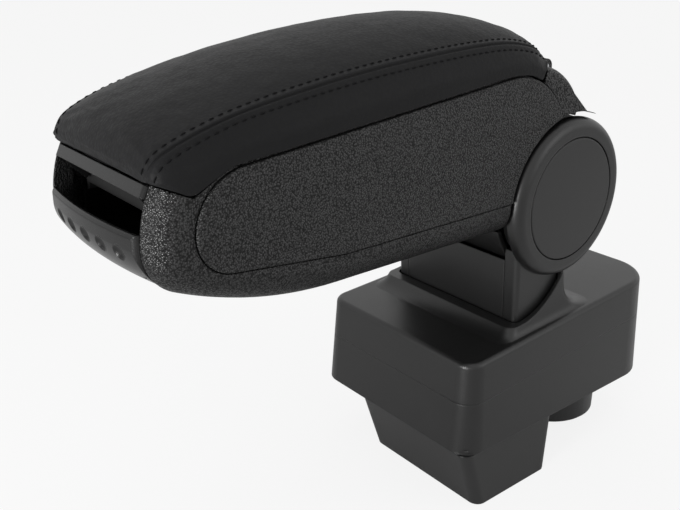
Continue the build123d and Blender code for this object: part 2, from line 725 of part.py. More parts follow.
with BuildPart() as arm_tub:
    with BuildSketch(Plane.YZ):
        with BuildLine():
            keel = Line(at(0, -FLOOR_DROP), at(BELLY_START, -FLOOR_DROP))
            belly = TangentArc(keel @ 1, at(BELLY_END, BELLY_END_UP), tangent=keel % 1)
            nose = TangentArc(belly @ 1, at(NOSE_REACH, NOSE_UP), tangent=belly % 1)
            brow = TangentArc(nose @ 1, at(BROW_REACH, BROW_UP), tangent=nose % 1)
            hood = CenterArc(
                (HINGE_Y, HINGE_Z), HOOD_RADIUS, HOOD_TOP_ANGLE, HOOD_TIP_ANGLE - HOOD_TOP_ANGLE
            )
            Polyline(
                brow @ 1,
                at(DIP_REACH, DIP_UP),
                at(RIM_FRONT, RIM_FRONT_UP),
                at(RIM_REAR, RIM_REAR_UP),
            )
            shoulder = TangentArc(
                at(RIM_REAR, RIM_REAR_UP), at(SHOULDER_REACH, SHOULDER_UP), tangent=rim_way
            )
            Polyline(
                shoulder @ 1,
                at(SEAT_REACH, SEAT_UP),
                at(LID_AXIS_REACH, SEAT_UP),
                hood @ 0,
            )
            Polyline(hood @ 1, at(0, 0), keel @ 0)
        make_face()
    extrude(amount=ARM_WIDTH / 2, both=True)
    low_edges = [
        edge
        for edge in arm_tub.edges()
        if abs(abs(edge.center().X) - ARM_WIDTH / 2) < 0.01
        and edge.center().Z < HINGE_Z + BROW_UP - 5
        and edge.center().Y < HINGE_Y - REAR_WALL_RADIUS
    ]
    fillet(low_edges, TUB_EDGE)
    # Horns that hide the ends of the lid's hinge, behind the pad's rear corners
    for side in (-1, 1):
        add(horn(side))
    # Room for the sleeve between the discs, and for the discs at both sides
    with BuildSketch(Plane.YZ):
        with Locations((HINGE_Y, HINGE_Z)):
            Circle(hood_gap_radius)
    extrude(amount=disc_inner, both=True, mode=Mode.SUBTRACT)
    for side in (-1, 1):
        with BuildSketch(Plane.YZ.offset(side * disc_inner)):
            with Locations((HINGE_Y, HINGE_Z)):
                Circle(SIDE_CUT_RADIUS)
        extrude(amount=side * ARM_WIDTH, mode=Mode.SUBTRACT)
    add(tub_hollow.part, mode=Mode.SUBTRACT)
    # Mouth for the drawer, slot for the steel plate, recesses for the side panels
    sill_up = BELLY_END_UP + TUB_WALL
    with BuildSketch(Plane.YZ):
        with BuildLine():
            Polyline(
                at(BELLY_END, -ARM_WIDTH),
                at(BELLY_END, sill_up),
                at(BELLY_END - 2 * TUB_WALL, sill_up),
                at(BELLY_END - 2 * TUB_WALL, ARM_WIDTH),
                at(2 * NOSE_REACH, ARM_WIDTH),
                at(2 * NOSE_REACH, -ARM_WIDTH),
                at(BELLY_END, -ARM_WIDTH),
            )
        make_face()
    extrude(amount=MOUTH_HALF, both=True, mode=Mode.SUBTRACT)
    with BuildSketch(Plane.XY.offset(HINGE_Z + floor_up)):
        with Locations((0, HINGE_Y - (ARM_PLATE_REAR + BIN_REAR) / 2)):
            Rectangle(2 * (ear_outer + FIT), BIN_REAR - ARM_PLATE_REAR)
    extrude(amount=STEEL + FIT, mode=Mode.SUBTRACT)
    for side, recess in zip((-1, 1), recess_faces):
        extrude(recess, amount=side * ARM_WIDTH, mode=Mode.SUBTRACT)
    # Countersunk holes for the screws of the steel plate
    with BuildSketch(Plane.XY.offset(HINGE_Z - FLOOR_DROP)):
        with Locations(*arm_screws_at):
            Circle(SCREW_HEAD_RADIUS + RUN)
    extrude(amount=SCREW_HEAD_RADIUS - SCREW_RADIUS, taper=45, mode=Mode.SUBTRACT)
    with BuildSketch(Plane.XY.offset(HINGE_Z - FLOOR_DROP)):
        with Locations(*arm_screws_at):
            Circle(SCREW_RADIUS + RUN)
    extrude(amount=TUB_WALL, mode=Mode.SUBTRACT)
    # Lugs for the pin of the lid
    for side in (-1, 1):
        with BuildSketch(Plane.YZ.offset(side * (LID_KNUCKLE_HALF + FIT))):
            with Locations(at(LID_AXIS_REACH, LID_AXIS_UP)):
                Circle(LID_KNUCKLE_RADIUS)
            with Locations(at(LID_AXIS_REACH, (LID_AXIS_UP + SEAT_UP) / 2 - 1)):
                Rectangle(2 * LID_KNUCKLE_RADIUS, LID_AXIS_UP - SEAT_UP + 2)
            with Locations(at(LID_AXIS_REACH, LID_AXIS_UP)):
                Circle(LID_PIN_RADIUS + RUN, mode=Mode.SUBTRACT)
        extrude(amount=side * (LID_LUG_END - LID_KNUCKLE_HALF - FIT))
arm_tub.part.label = "arm_tub"
export_step(arm_tub.part, "parts/arm_tub.step")

with BuildPart() as side_panel_right:
    extrude(panel_face, amount=PANEL_DEPTH + PANEL_PROUD)
    fillet(side_panel_right.edges().group_by(Axis.X)[-1], PANEL_EDGE)
side_panel_right.part.label = "side_panel_right"
export_step(side_panel_right.part, "parts/side_panel_right.step")

with BuildPart() as side_panel_left:
    mirror(side_panel_right.part, about=Plane.YZ)
side_panel_left.part.label = "side_panel_left"
export_step(side_panel_left.part, "parts/side_panel_left.step")

# Steel plate on the tub's floor, with two ears that reach the pivot inside the sleeve
with BuildPart() as arm_bracket:
    with BuildSketch(Plane.XY.offset(HINGE_Z + floor_up)):
        with Locations((0, HINGE_Y - (ARM_PLATE_FRONT + ARM_PLATE_REAR) / 2)):
            Rectangle(2 * ear_outer, ARM_PLATE_FRONT - ARM_PLATE_REAR)
        with Locations(*arm_screws_at):
            Circle(SCREW_RADIUS + RUN, mode=Mode.SUBTRACT)
    extrude(amount=STEEL)
    for side in (-1, 1):
        with BuildSketch(Plane.YZ.offset(side * ear_inner)):
            with BuildLine():
                Polyline(
                    at(EAR_FRONT, floor_up),
                    at(EAR_FRONT, floor_up + STEEL),
                    at(0, EAR_RADIUS),
                    at(0, -EAR_RADIUS),
                    at(ARM_PLATE_REAR, floor_up),
                    at(EAR_FRONT, floor_up),
                )
            make_face()
            with Locations((HINGE_Y, HINGE_Z)):
                Circle(EAR_RADIUS)
                Circle(PIVOT_RADIUS + RUN, mode=Mode.SUBTRACT)
        extrude(amount=side * EAR_THICKNESS)
arm_bracket.part.label = "arm_bracket"
export_step(arm_bracket.part, "parts/arm_bracket.step")

with BuildPart() as bracket_screws:
    with BuildSketch(Plane.XY.offset(HINGE_Z - FLOOR_DROP)):
        with Locations(*arm_screws_at):
            Circle(SCREW_HEAD_RADIUS)
    extrude(amount=SCREW_HEAD_RADIUS - SCREW_RADIUS, taper=45)
    with BuildSketch(Plane.XY.offset(HINGE_Z - FLOOR_DROP)):
        with Locations(*arm_screws_at):
            Circle(SCREW_RADIUS)
    extrude(amount=TUB_WALL + STEEL)
bracket_screws.part.label = "bracket_screws"
export_step(bracket_screws.part, "parts/bracket_screws.step")

# Sleeve: the barrel between the discs, on two webs round the spacer, open towards the tub
web_outer = ear_inner - FIT
with BuildPart() as hinge_sleeve:
    with BuildSketch(Plane.YZ):
        with Locations((HINGE_Y, HINGE_Z)):
            Circle(SLEEVE_RADIUS)
            Circle(SLEEVE_RADIUS - SLEEVE_WALL, mode=Mode.SUBTRACT)
    extrude(amount=SLEEVE_HALF, both=True)
    for side in (-1, 1):
        with BuildSketch(Plane.YZ.offset(side * web_outer)):
            with Locations((HINGE_Y, HINGE_Z)):
                Circle(SLEEVE_RADIUS - SLEEVE_WALL / 2)
                Circle(SPACER_RADIUS + RUN, mode=Mode.SUBTRACT)
        extrude(amount=-side * SLEEVE_WALL)
    with BuildSketch(Plane.YZ):
        with Locations(at(EAR_FRONT, floor_up + STEEL)):
            Rectangle(2 * (EAR_FRONT - ARM_PLATE_REAR + STEEL), 2 * EAR_RADIUS / 2)
    extrude(amount=SLEEVE_HALF, both=True, mode=Mode.SUBTRACT)
hinge_sleeve.part.label = "hinge_sleeve"
export_step(hinge_sleeve.part, "parts/hinge_sleeve.step")


def lid_line(reach):
    """Height of the lid's parting above the hinge axis."""
    return RIM_REAR_UP + PAD_GAP - rim_slope * (reach - RIM_REAR)


# Storage bin: slanted rim close under the lid, rounded floor
bin_floor = floor_up + STEEL + FIT
bin_half = ARM_WIDTH / 2 - TUB_WALL - 2 * FIT
bin_drop = LID_PLATE + 1
with BuildPart() as bin_core:
    with BuildSketch(Plane.YZ):
        with BuildLine():
            Polyline(
                at(BIN_REAR + BIN_WALL, bin_floor + BIN_WALL),
                at(BIN_FRONT - BIN_WALL, bin_floor + BIN_WALL),
                at(BIN_FRONT - BIN_WALL, RIM_REAR_UP + BIN_FRONT),
                at(BIN_REAR + BIN_WALL, RIM_REAR_UP + BIN_FRONT),
                at(BIN_REAR + BIN_WALL, bin_floor + BIN_WALL),
            )
        make_face()
    extrude(amount=bin_half - BIN_WALL, both=True)
    fillet(bin_core.edges().filter_by(Axis.Y).group_by(Axis.Z)[0], TUB_EDGE - TUB_WALL - BIN_WALL)

with BuildPart() as storage_bin:
    with BuildSketch(Plane.YZ):
        with BuildLine():
            Polyline(
                at(BIN_REAR, bin_floor),
                at(BIN_FRONT, bin_floor),
                at(BIN_FRONT, lid_line(BIN_FRONT) - bin_drop),
                at(BIN_REAR, lid_line(BIN_REAR) - bin_drop),
                at(BIN_REAR, bin_floor),
            )
        make_face()
    extrude(amount=bin_half, both=True)
    fillet(storage_bin.edges().filter_by(Axis.Y).group_by(Axis.Z)[0], TUB_EDGE - TUB_WALL - FIT)
    add(bin_core.part, mode=Mode.SUBTRACT)
storage_bin.part.label = "storage_bin"
export_step(storage_bin.part, "parts/storage_bin.step")

# Drawer housing: a sleeve that stands on the tub's floor, with a stop lip at its mouth
room_half = HOUSING_HALF - HOUSING_WALL
room_floor = HOUSING_FLOOR_UP + HOUSING_WALL
room_roof = HOUSING_ROOF_UP - HOUSING_WALL
lip_foot = DRAWER_SIDE_UP + DRAWER_STOP
with BuildPart() as drawer_housing:
    add(tub_hollow.part.moved(Location((0, 0, FIT))))
    with BuildSketch(Plane.YZ):
        with Locations(at((HOUSING_FRONT + HOUSING_REAR) / 2, 0)):
            Rectangle(HOUSING_FRONT - HOUSING_REAR, 2 * HOUSING_ROOF_UP)
    extrude(amount=HOUSING_HALF, both=True, mode=Mode.INTERSECT)
    with BuildSketch(Plane.YZ):
        with Locations(at((HOUSING_FRONT - HOUSING_WALL + HOUSING_REAR) / 2, (room_floor + room_roof) / 2)):
            Rectangle(HOUSING_FRONT - HOUSING_WALL - HOUSING_REAR, room_roof - room_floor)
        with Locations(at(HOUSING_FRONT, (room_floor + lip_foot) / 2)):
            Rectangle(4 * HOUSING_WALL, lip_foot - room_floor)
        with Locations(at((HOUSING_FRONT + HOUSING_REAR) / 2, HOUSING_FLOOR_UP - HOUSING_ROOF_UP)):
            Rectangle(2 * HOUSING_FRONT, 2 * HOUSING_ROOF_UP)
    extrude(amount=room_half, both=True, mode=Mode.SUBTRACT)
drawer_housing.part.label = "drawer_housing"
export_step(drawer_housing.part, "parts/drawer_housing.step")

# Drawer: tray and bowed pull in one moulding
tray_half = room_half - DRAWER_GAP
tray_floor = room_floor + DRAWER_GAP
tray_rear = HOUSING_REAR + 2 * HOUSING_WALL
pull_floor_reach = PULL_REACH - PULL_CHIN_BACK - PULL_BOW
pull_radius = (PULL_HALF**2 + PULL_BOW**2) / (2 * PULL_BOW)
pull_axis_y = HINGE_Y - PULL_REACH + pull_radius
dimple_ball = (DIMPLE_RADIUS**2 + DIMPLE_DEPTH**2) / (2 * DIMPLE_DEPTH)
dimple_ring = pull_radius - 0.7 + dimple_ball - DIMPLE_DEPTH
dimples_at = [
    (
        dimple_ring * sin((i - (DIMPLE_COUNT - 1) / 2) * DIMPLE_PITCH / pull_radius),
        pull_axis_y - dimple_ring * cos((i - (DIMPLE_COUNT - 1) / 2) * DIMPLE_PITCH / pull_radius),
        HINGE_Z + DIMPLE_UP,
    )
    for i in range(DIMPLE_COUNT)
]

with BuildPart() as pull:
    with BuildSketch(Plane.YZ):
        with BuildLine():
            outer = ThreePointArc(
                at(PULL_HEEL_REACH, PULL_HEEL_UP),
                at(PULL_REACH - PULL_CHIN_BACK, PULL_CHIN_UP),
                at(PULL_REACH, PULL_WAIST_UP),
            )
            upper = Line(outer @ 1, at(PULL_REACH, PULL_LIP_UP))
            Polyline(
                upper @ 1,
                at(PULL_REACH - PULL_WALL, PULL_LIP_UP),
                at(PULL_REACH - PULL_WALL, PULL_WAIST_UP),
            )
            inner = ThreePointArc(
                at(PULL_REACH - PULL_WALL, PULL_WAIST_UP),
                at(PULL_REACH - PULL_CHIN_BACK - 0.75 * PULL_WALL, PULL_CHIN_UP + 0.7 * PULL_WALL),
                at(PULL_HEEL_REACH, PULL_HEEL_UP + PULL_WALL),
            )
            Line(inner @ 1, outer @ 0)
        make_face()
        with Locations(at(PULL_REACH - PULL_LIP_RADIUS, PULL_LIP_UP)):
            Circle(PULL_LIP_RADIUS)
    revolve(axis=Axis((0, pull_axis_y, 0), (0, 0, 1)), revolution_arc=20)
    mirror(about=Plane.YZ)
    # Plan of the pull, with its two front corners rounded
    pull_end_y = HINGE_Y - PULL_REACH + PULL_BOW - FIT
    with BuildSketch(Plane.XY) as pull_plan:
        with BuildLine():
            bow = ThreePointArc(
                (-PULL_HALF, pull_end_y), (0, pull_end_y - PULL_BOW), (PULL_HALF, pull_end_y)
            )
            Polyline(
                bow @ 1,
                (PULL_HALF, HINGE_Y - PULL_HEEL_REACH),
                (-PULL_HALF, HINGE_Y - PULL_HEEL_REACH),
                bow @ 0,
            )
        make_face()
        fillet(pull_plan.vertices().group_by(Axis.Y)[0], PULL_CORNER)
    extrude(amount=2 * HINGE_Z, mode=Mode.INTERSECT)
    with Locations(*dimples_at):
        Sphere(dimple_ball, mode=Mode.SUBTRACT)

with BuildPart() as drawer:
    with BuildSketch(Plane.XY.offset(HINGE_Z + tray_floor)):
        with Locations((0, HINGE_Y - (tray_rear + PULL_HEEL_REACH) / 2)):
            Rectangle(2 * tray_half, PULL_HEEL_REACH - tray_rear)
    extrude(amount=DRAWER_SIDE_UP - tray_floor)
    with BuildSketch(Plane.XY.offset(HINGE_Z + tray_floor + DRAWER_WALL)):
        with Locations((0, HINGE_Y - (tray_rear + DRAWER_WALL + PULL_REACH) / 2)):
            Rectangle(2 * (tray_half - DRAWER_WALL), PULL_REACH - tray_rear - DRAWER_WALL)
    extrude(amount=DRAWER_SIDE_UP, mode=Mode.SUBTRACT)
    with BuildSketch(Plane.XY.offset(HINGE_Z + tray_floor)):
        with Locations((0, HINGE_Y - tray_rear - DRAWER_WALL / 2)):
            Rectangle(2 * tray_half, DRAWER_WALL)
    extrude(amount=room_roof - DRAWER_GAP - tray_floor)
    with BuildSketch(Plane.XY.offset(HINGE_Z + tray_floor)):
        with Locations((0, HINGE_Y - (PULL_HEEL_REACH + pull_floor_reach) / 2)):
            Rectangle(2 * tray_half, pull_floor_reach - PULL_HEEL_REACH)
    extrude(amount=DRAWER_WALL)
    add(pull.part)
drawer.part.label = "drawer"
export_step(drawer.part, "parts/drawer.step")

# Lid base: plate under the pad, knuckle at the rear, lugs for the latch at the front
with BuildPart() as lid_base:
    with BuildSketch(Plane.YZ):
        with BuildLine():
            Polyline(
                at(LID_PLATE_FRONT, lid_line(LID_PLATE_FRONT)),
                at(LID_PLATE_REAR, lid_line(LID_PLATE_REAR)),
                at(LID_PLATE_REAR, lid_line(LID_PLATE_REAR) - LID_PLATE),
                at(LID_PLATE_FRONT, lid_line(LID_PLATE_FRONT) - LID_PLATE),
                at(LID_PLATE_FRONT, lid_line(LID_PLATE_FRONT)),
            )
        make_face()
    extrude(amount=bin_half, both=True)
    with BuildSketch(Plane.YZ):
        with BuildLine():
            Polyline(
                at(LID_PLATE_REAR, lid_line(LID_PLATE_REAR)),
                at(LID_AXIS_REACH, LID_AXIS_UP + LID_KNUCKLE_RADIUS),
                at(LID_AXIS_REACH, LID_AXIS_UP),
                at(LID_PLATE_REAR, lid_line(LID_PLATE_REAR) - LID_PLATE),
                at(LID_PLATE_REAR, lid_line(LID_PLATE_REAR)),
            )
        make_face()
        with Locations(at(LID_AXIS_REACH, LID_AXIS_UP)):
            Circle(LID_KNUCKLE_RADIUS)
            Circle(LID_PIN_RADIUS + RUN, mode=Mode.SUBTRACT)
    extrude(amount=LID_KNUCKLE_HALF, both=True)
    for side in (-1, 1):
        with BuildSketch(Plane.YZ.offset(side * (LATCH_BARREL_HALF + FIT))):
            with BuildLine():
                Polyline(
                    at(LID_PLATE_FRONT, lid_line(LID_PLATE_FRONT)),
                    at(LATCH_REACH, LATCH_UP + LATCH_BARREL_RADIUS),
                    at(LATCH_REACH, LATCH_UP - LATCH_BARREL_RADIUS),
                    at(LID_PLATE_FRONT, lid_line(LID_PLATE_FRONT) - LID_PLATE),
                    at(LID_PLATE_FRONT, lid_line(LID_PLATE_FRONT)),
                )
            make_face()
            with Locations(at(LATCH_REACH, LATCH_UP)):
                Circle(LATCH_BARREL_RADIUS)
                Circle(LATCH_PIN_RADIUS + RUN, mode=Mode.SUBTRACT)
        extrude(amount=side * LATCH_LUG)
lid_base.part.label = "lid_base"
export_step(lid_base.part, "parts/lid_base.step")

with BuildPart() as lid_hinge_pin:
    with BuildSketch(Plane.YZ):
        with Locations(at(LID_AXIS_REACH, LID_AXIS_UP)):
            Circle(LID_PIN_RADIUS)
    extrude(amount=LID_LUG_END, both=True)
lid_hinge_pin.part.label = "lid_hinge_pin"
export_step(lid_hinge_pin.part, "parts/lid_hinge_pin.step")

skirt_inner = ARM_WIDTH / 2 - TUB_WALL + SKIRT_GAP

# Skirts of the pad beside the tub's rim, where it dips at the front and at the hinge
with BuildPart() as pad_skirts:
    for side in (-1, 1):
        with BuildSketch(Plane.YZ.offset(side * skirt_inner)):
            with BuildLine():
                Polyline(
                    at(RIM_FRONT, lid_line(RIM_FRONT) + PAD_GAP),
                    at(RIM_FRONT, RIM_FRONT_UP + SKIRT_GAP),
                    at(DIP_REACH, DIP_UP + SKIRT_GAP),
                    at(BROW_REACH, BROW_UP + SKIRT_GAP),
                    at(BROW_REACH, lid_line(BROW_REACH) + PAD_GAP),
                    at(RIM_FRONT, lid_line(RIM_FRONT) + PAD_GAP),
                )
            make_face()
            with BuildLine():
                hem = TangentArc(
                    at(RIM_REAR, RIM_REAR_UP + SKIRT_GAP),
                    at(SHOULDER_REACH, SHOULDER_UP + SKIRT_GAP),
                    tangent=rim_way,
                )
                Polyline(
                    hem @ 1,
                    at(SKIRT_REAR, SHOULDER_UP + SKIRT_GAP),
                    at(SKIRT_REAR, lid_line(SKIRT_REAR) + PAD_GAP),
                    at(RIM_REAR, lid_line(RIM_REAR) + PAD_GAP),
                    hem @ 0,
                )
            make_face()
        extrude(amount=side * (PAD_HALF - FIT - skirt_inner))
    with BuildSketch(Plane.XY) as pad_plan:
        with Locations((0, HINGE_Y - (PAD_FRONT + PAD_REAR) / 2)):
            Rectangle(2 * PAD_HALF, PAD_FRONT - PAD_REAR - 2 * SKIRT_INSET)
        fillet(pad_plan.vertices().group_by(Axis.Y)[0], PAD_CORNER)
        fillet(pad_plan.vertices().group_by(Axis.Y)[-1], PAD_REAR_CORNER)
    extrude(amount=2 * HINGE_Z, mode=Mode.INTERSECT)

# Pad: crowned cushion over the plate, lofted from front to rear
with BuildPart() as lid_pad:
    for share, foot_half, seam_half, seam_rise, crown_rise in PAD_SECTIONS:
        reach = PAD_FRONT + (PAD_REAR - PAD_FRONT) * share
        foot_z = HINGE_Z + lid_line(reach)
        flank = seam_half + (foot_half - seam_half) * PAD_BULGE
        with BuildSketch(Plane.XZ.offset(reach - HINGE_Y)):
            with BuildLine():
                foot = Line((-foot_half, foot_z), (foot_half, foot_z))
                right = ThreePointArc(
                    foot @ 1, (flank, foot_z + seam_rise / 2), (seam_half, foot_z + seam_rise)
                )
                top = ThreePointArc(
                    right @ 1, (0, foot_z + crown_rise), (-seam_half, foot_z + seam_rise)
                )
                ThreePointArc(top @ 1, (-flank, foot_z + seam_rise / 2), foot @ 0)
            make_face()
    loft()
    add(pad_skirts.part)
lid_pad.part.label = "lid_pad"
export_step(lid_pad.part, "parts/lid_pad.step")


def bar_ends_front(edges):
    """The end edges that bound the bar's front face, one at each end."""
    foremost = min(edge.center().Y for edge in edges)
    return [edge for edge in edges if edge.center().Y < foremost + 0.01]


# Latch bar: smooth bar, barrel on the pin, two hooks
with BuildPart() as latch_bar:
    with BuildSketch(Plane.YZ):
        with BuildLine():
            Polyline(
                at(BAR_TOP_REACH, BAR_TOP_UP),
                at(BAR_FOOT_REACH, BAR_FOOT_UP),
                at(BAR_FOOT_REACH - BAR_THICKNESS, BAR_FOOT_UP - 0.6),
                at(BAR_TOP_REACH - BAR_THICKNESS, BAR_TOP_UP - 1.0),
                at(BAR_TOP_REACH, BAR_TOP_UP),
            )
        make_face()
    extrude(amount=BAR_HALF, both=True)
    bar_ends = [edge for edge in latch_bar.edges() if abs(abs(edge.center().X) - BAR_HALF) < 0.01]
    fillet(bar_ends_front(bar_ends), BAR_BEVEL)
    with BuildSketch(Plane.YZ):
        with Locations(at(LATCH_REACH, LATCH_UP)):
            Circle(LATCH_BARREL_RADIUS)
        with BuildLine():
            Polyline(
                at(LATCH_REACH, LATCH_UP + LATCH_BARREL_RADIUS - 1.2),
                at(BAR_TOP_REACH - 1, LATCH_UP + LATCH_BARREL_RADIUS - 1.2),
                at(BAR_TOP_REACH, LATCH_UP - LATCH_BARREL_RADIUS + 0.6),
                at(LATCH_REACH, LATCH_UP - LATCH_BARREL_RADIUS),
                at(LATCH_REACH, LATCH_UP + LATCH_BARREL_RADIUS - 1.2),
            )
        make_face()
        with Locations(at(LATCH_REACH, LATCH_UP)):
            Circle(LATCH_PIN_RADIUS + RUN, mode=Mode.SUBTRACT)
    extrude(amount=LATCH_BARREL_HALF, both=True)
    for side in (-1, 1):
        with BuildSketch(Plane.YZ.offset(side * HOOK_INNER)):
            with BuildLine():
                Polyline(
                    at(BAR_TOP_REACH - 1, BAR_TOP_UP - 1),
                    at(BAR_FOOT_REACH - 1, BAR_FOOT_UP),
                    at(LATCH_REACH, HOOK_FOOT_UP + HOOK_CATCH),
                    at(LATCH_REACH - HOOK_CATCH, HOOK_FOOT_UP),
                    at(HOUSING_FRONT + SWING, HOOK_FOOT_UP + HOOK_CATCH - 1),
                    at(LATCH_REACH - HOOK_CATCH, HOOK_FOOT_UP + HOOK_CATCH),
                    at(LATCH_REACH - HOOK_CATCH + 1, LATCH_UP),
                    at(BAR_TOP_REACH - 1, BAR_TOP_UP - 1),
                )
            make_face()
        extrude(amount=side * HOOK_WIDTH)
latch_bar.part.label = "latch_bar"
export_step(latch_bar.part, "parts/latch_bar.step")

with BuildPart() as latch_pin:
    with BuildSketch(Plane.YZ):
        with Locations(at(LATCH_REACH, LATCH_UP)):
            Circle(LATCH_PIN_RADIUS)
    extrude(amount=LATCH_BARREL_HALF + FIT + LATCH_LUG, both=True)
latch_pin.part.label = "latch_pin"
export_step(latch_pin.part, "parts/latch_pin.step")
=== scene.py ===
# %% [markdown]
# # A car centre armrest
# The armrest is a padded lid on a grained plastic tub. The tub swings on a big round hinge, and the
# hinge post stands on a base that plugs into a car's console. The rigid pieces arrive as finished
# solids, so this lesson gives them their surfaces, and sews the one soft piece: the leather pad.

# %% Load the solids
import json
from math import cos, pi, radians, sin

import bmesh
import bpy
from mathutils import Matrix, Vector
from mathutils.bvhtree import BVHTree


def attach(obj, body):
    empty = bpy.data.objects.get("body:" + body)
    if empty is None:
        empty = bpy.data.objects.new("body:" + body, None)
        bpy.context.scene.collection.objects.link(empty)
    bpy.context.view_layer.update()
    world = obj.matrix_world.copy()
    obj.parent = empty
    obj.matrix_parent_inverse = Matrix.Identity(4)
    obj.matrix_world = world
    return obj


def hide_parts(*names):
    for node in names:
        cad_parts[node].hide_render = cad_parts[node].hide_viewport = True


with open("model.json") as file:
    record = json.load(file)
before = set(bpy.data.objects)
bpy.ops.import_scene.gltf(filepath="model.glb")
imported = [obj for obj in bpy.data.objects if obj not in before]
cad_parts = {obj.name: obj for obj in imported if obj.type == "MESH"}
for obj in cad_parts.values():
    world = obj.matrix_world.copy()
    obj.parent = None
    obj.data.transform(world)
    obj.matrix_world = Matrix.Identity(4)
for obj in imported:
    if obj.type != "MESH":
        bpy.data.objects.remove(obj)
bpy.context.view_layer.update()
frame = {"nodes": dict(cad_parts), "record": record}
MM = 0.001

# %% [markdown]
# ## Writing a finish as sums
# A surface finish is a graph of nodes. Wiring each node by hand hides the idea, so a small class
# stands for one socket, and adding or multiplying two of them adds the Math node that does it. The
# reflected forms let a plain number stand first, as in 1 - grain.


# %% A wire
class Wire:
    """One output in a graph; sums on it add Math nodes."""

    def __init__(self, graph, socket):
        self.graph = graph
        self.socket = socket

    def _math(self, operation, first, second):
        return self.graph.node("ShaderNodeMath", {"operation": operation}, {0: first, 1: second})

    def __add__(self, other):
        return self._math("ADD", self, other)

    def __radd__(self, other):
        return self._math("ADD", other, self)

    def __sub__(self, other):
        return self._math("SUBTRACT", self, other)

    def __rsub__(self, other):
        return self._math("SUBTRACT", other, self)

    def __mul__(self, other):
        return self._math("MULTIPLY", self, other)

    def __rmul__(self, other):
        return self._math("MULTIPLY", other, self)


print("a wire adds, subtracts and multiplies")

# %% [markdown]
# ## One method for every node
# Every other kind of node comes from one method. It sets the node up first, because a setting can change
# which sockets the node has, and then fills the sockets with numbers or links. A material and the
# room's walls are both such graphs, so what they share is kept apart from what only a finish needs.


# %% A graph of nodes
class Graph:
    """The nodes of a material or of the room's walls."""

    def __init__(self, owner):
        owner.use_nodes = True
        self.owner = owner
        self.tree = owner.node_tree
        self.tree.nodes.clear()

    def node(self, kind, settings, sockets, output=0):
        """Make one node and return the named or numbered output of it."""
        made = self.tree.nodes.new(kind)
        for key, value in settings.items():
            setattr(made, key, value)
        for key, value in sockets.items():
            if isinstance(value, Wire):
                self.tree.links.new(value.socket, made.inputs[key])
            else:
                made.inputs[key].default_value = value
        return Wire(self, made.outputs[output]) if made.outputs else None

    def mixed(self, factor, low, high):
        """A surface between two."""
        return self.node("ShaderNodeMixShader", {}, {0: factor, 1: low, 2: high})

    def done(self, shader, kind="ShaderNodeOutputMaterial"):
        """Close the graph and hand over the material or the walls."""
        self.node(kind, {}, {"Surface": shader})
        return self.owner


print("a graph makes nodes")

# %% [markdown]
# ## The textures of a finish
# Leather, grained plastic and plated steel look different, and still come from the same few textures:
# a cloud, a field of pebbles, a blend of two colours, a bump and a rolled edge. All of them work on the
# place of a point on the object, so the grain keeps its true size on every piece and needs no unwrapping.

# %% A finish
# A Mix node keeps its colour sockets behind those for numbers and vectors.
MIX_LOW, MIX_HIGH, MIX_RESULT = 6, 7, 2


class Finish(Graph):
    """A material with the textures that the armrest's surfaces are made of."""

    def __init__(self, name):
        super().__init__(bpy.data.materials.new(name))
        self.place = self.node("ShaderNodeTexCoord", {}, {}, "Object")

    def noise(self, scale, detail, where=None):
        """Soft cloudy value about 0.5; scale counts per metre."""
        sockets = {"Vector": where or self.place, "Scale": scale, "Detail": detail}
        return self.node("ShaderNodeTexNoise", {}, sockets, "Fac")

    def pebbles(self, scale, softness):
        """Distance to the nearest of many scattered points: least on a pebble, most between them."""
        sockets = {"Vector": self.place, "Scale": scale, "Smoothness": softness}
        return self.node("ShaderNodeTexVoronoi", {"feature": "SMOOTH_F1"}, sockets, "Distance")

    def stretch(self, factors):
        """The place with each axis scaled, for streaks."""
        return self.node("ShaderNodeVectorMath", {"operation": "MULTIPLY"}, {0: self.place, 1: factors})

    def blend(self, factor, low, high):
        """A colour between two."""
        sockets = {"Factor": factor, MIX_LOW: (*low, 1.0), MIX_HIGH: (*high, 1.0)}
        return self.node("ShaderNodeMix", {"data_type": "RGBA"}, sockets, MIX_RESULT)

    def soft_edges(self, radius):
        """A normal that rolls over sharp edges, as a moulded edge does."""
        return self.node("ShaderNodeBevel", {"samples": 4}, {"Radius": radius})

    def bump(self, height, depth, strength=1.0, normal=None):
        """A normal that leans with a height; depth is in metres."""
        sockets = {"Height": height, "Distance": depth, "Strength": strength}
        if normal is not None:
            sockets["Normal"] = normal
        return self.node("ShaderNodeBump", {}, sockets)

    def shader(self, **sockets):
        """One Principled surface; its socket names are written with underscores."""
        named = {key.replace("_", " "): value for key, value in sockets.items()}
        return self.node("ShaderNodeBsdfPrincipled", {}, named)

    def surface(self, **sockets):
        """Close the graph with one Principled surface."""
        return self.done(self.shader(**sockets))


print("a finish has clouds, pebbles, blends, bumps and rolled edges")

# %% [markdown]
# ## Leather
# The lid is covered in black leather with a fine, flat grain and a low sheen. The grain is two sizes
# of pebble, the larger for the skin's folds and the smaller for its pores. The skin is a little rougher
# between the folds, and a slow cloud shifts the black and the gloss, which keeps it from looking like
# paint. A wave under the grain is the slack that a sewn skin keeps over foam. Leather throws back less
# of the white booth than plastic does, so its reflection is held low.

# %% Leather finish
FOLD_HEIGHT, PORE_HEIGHT, SLACK_HEIGHT = 0.7, 0.3, 3.0
LEATHER_ROUGH, CLOUD_ROUGH, FOLD_ROUGH = 0.44, 0.10, 0.12


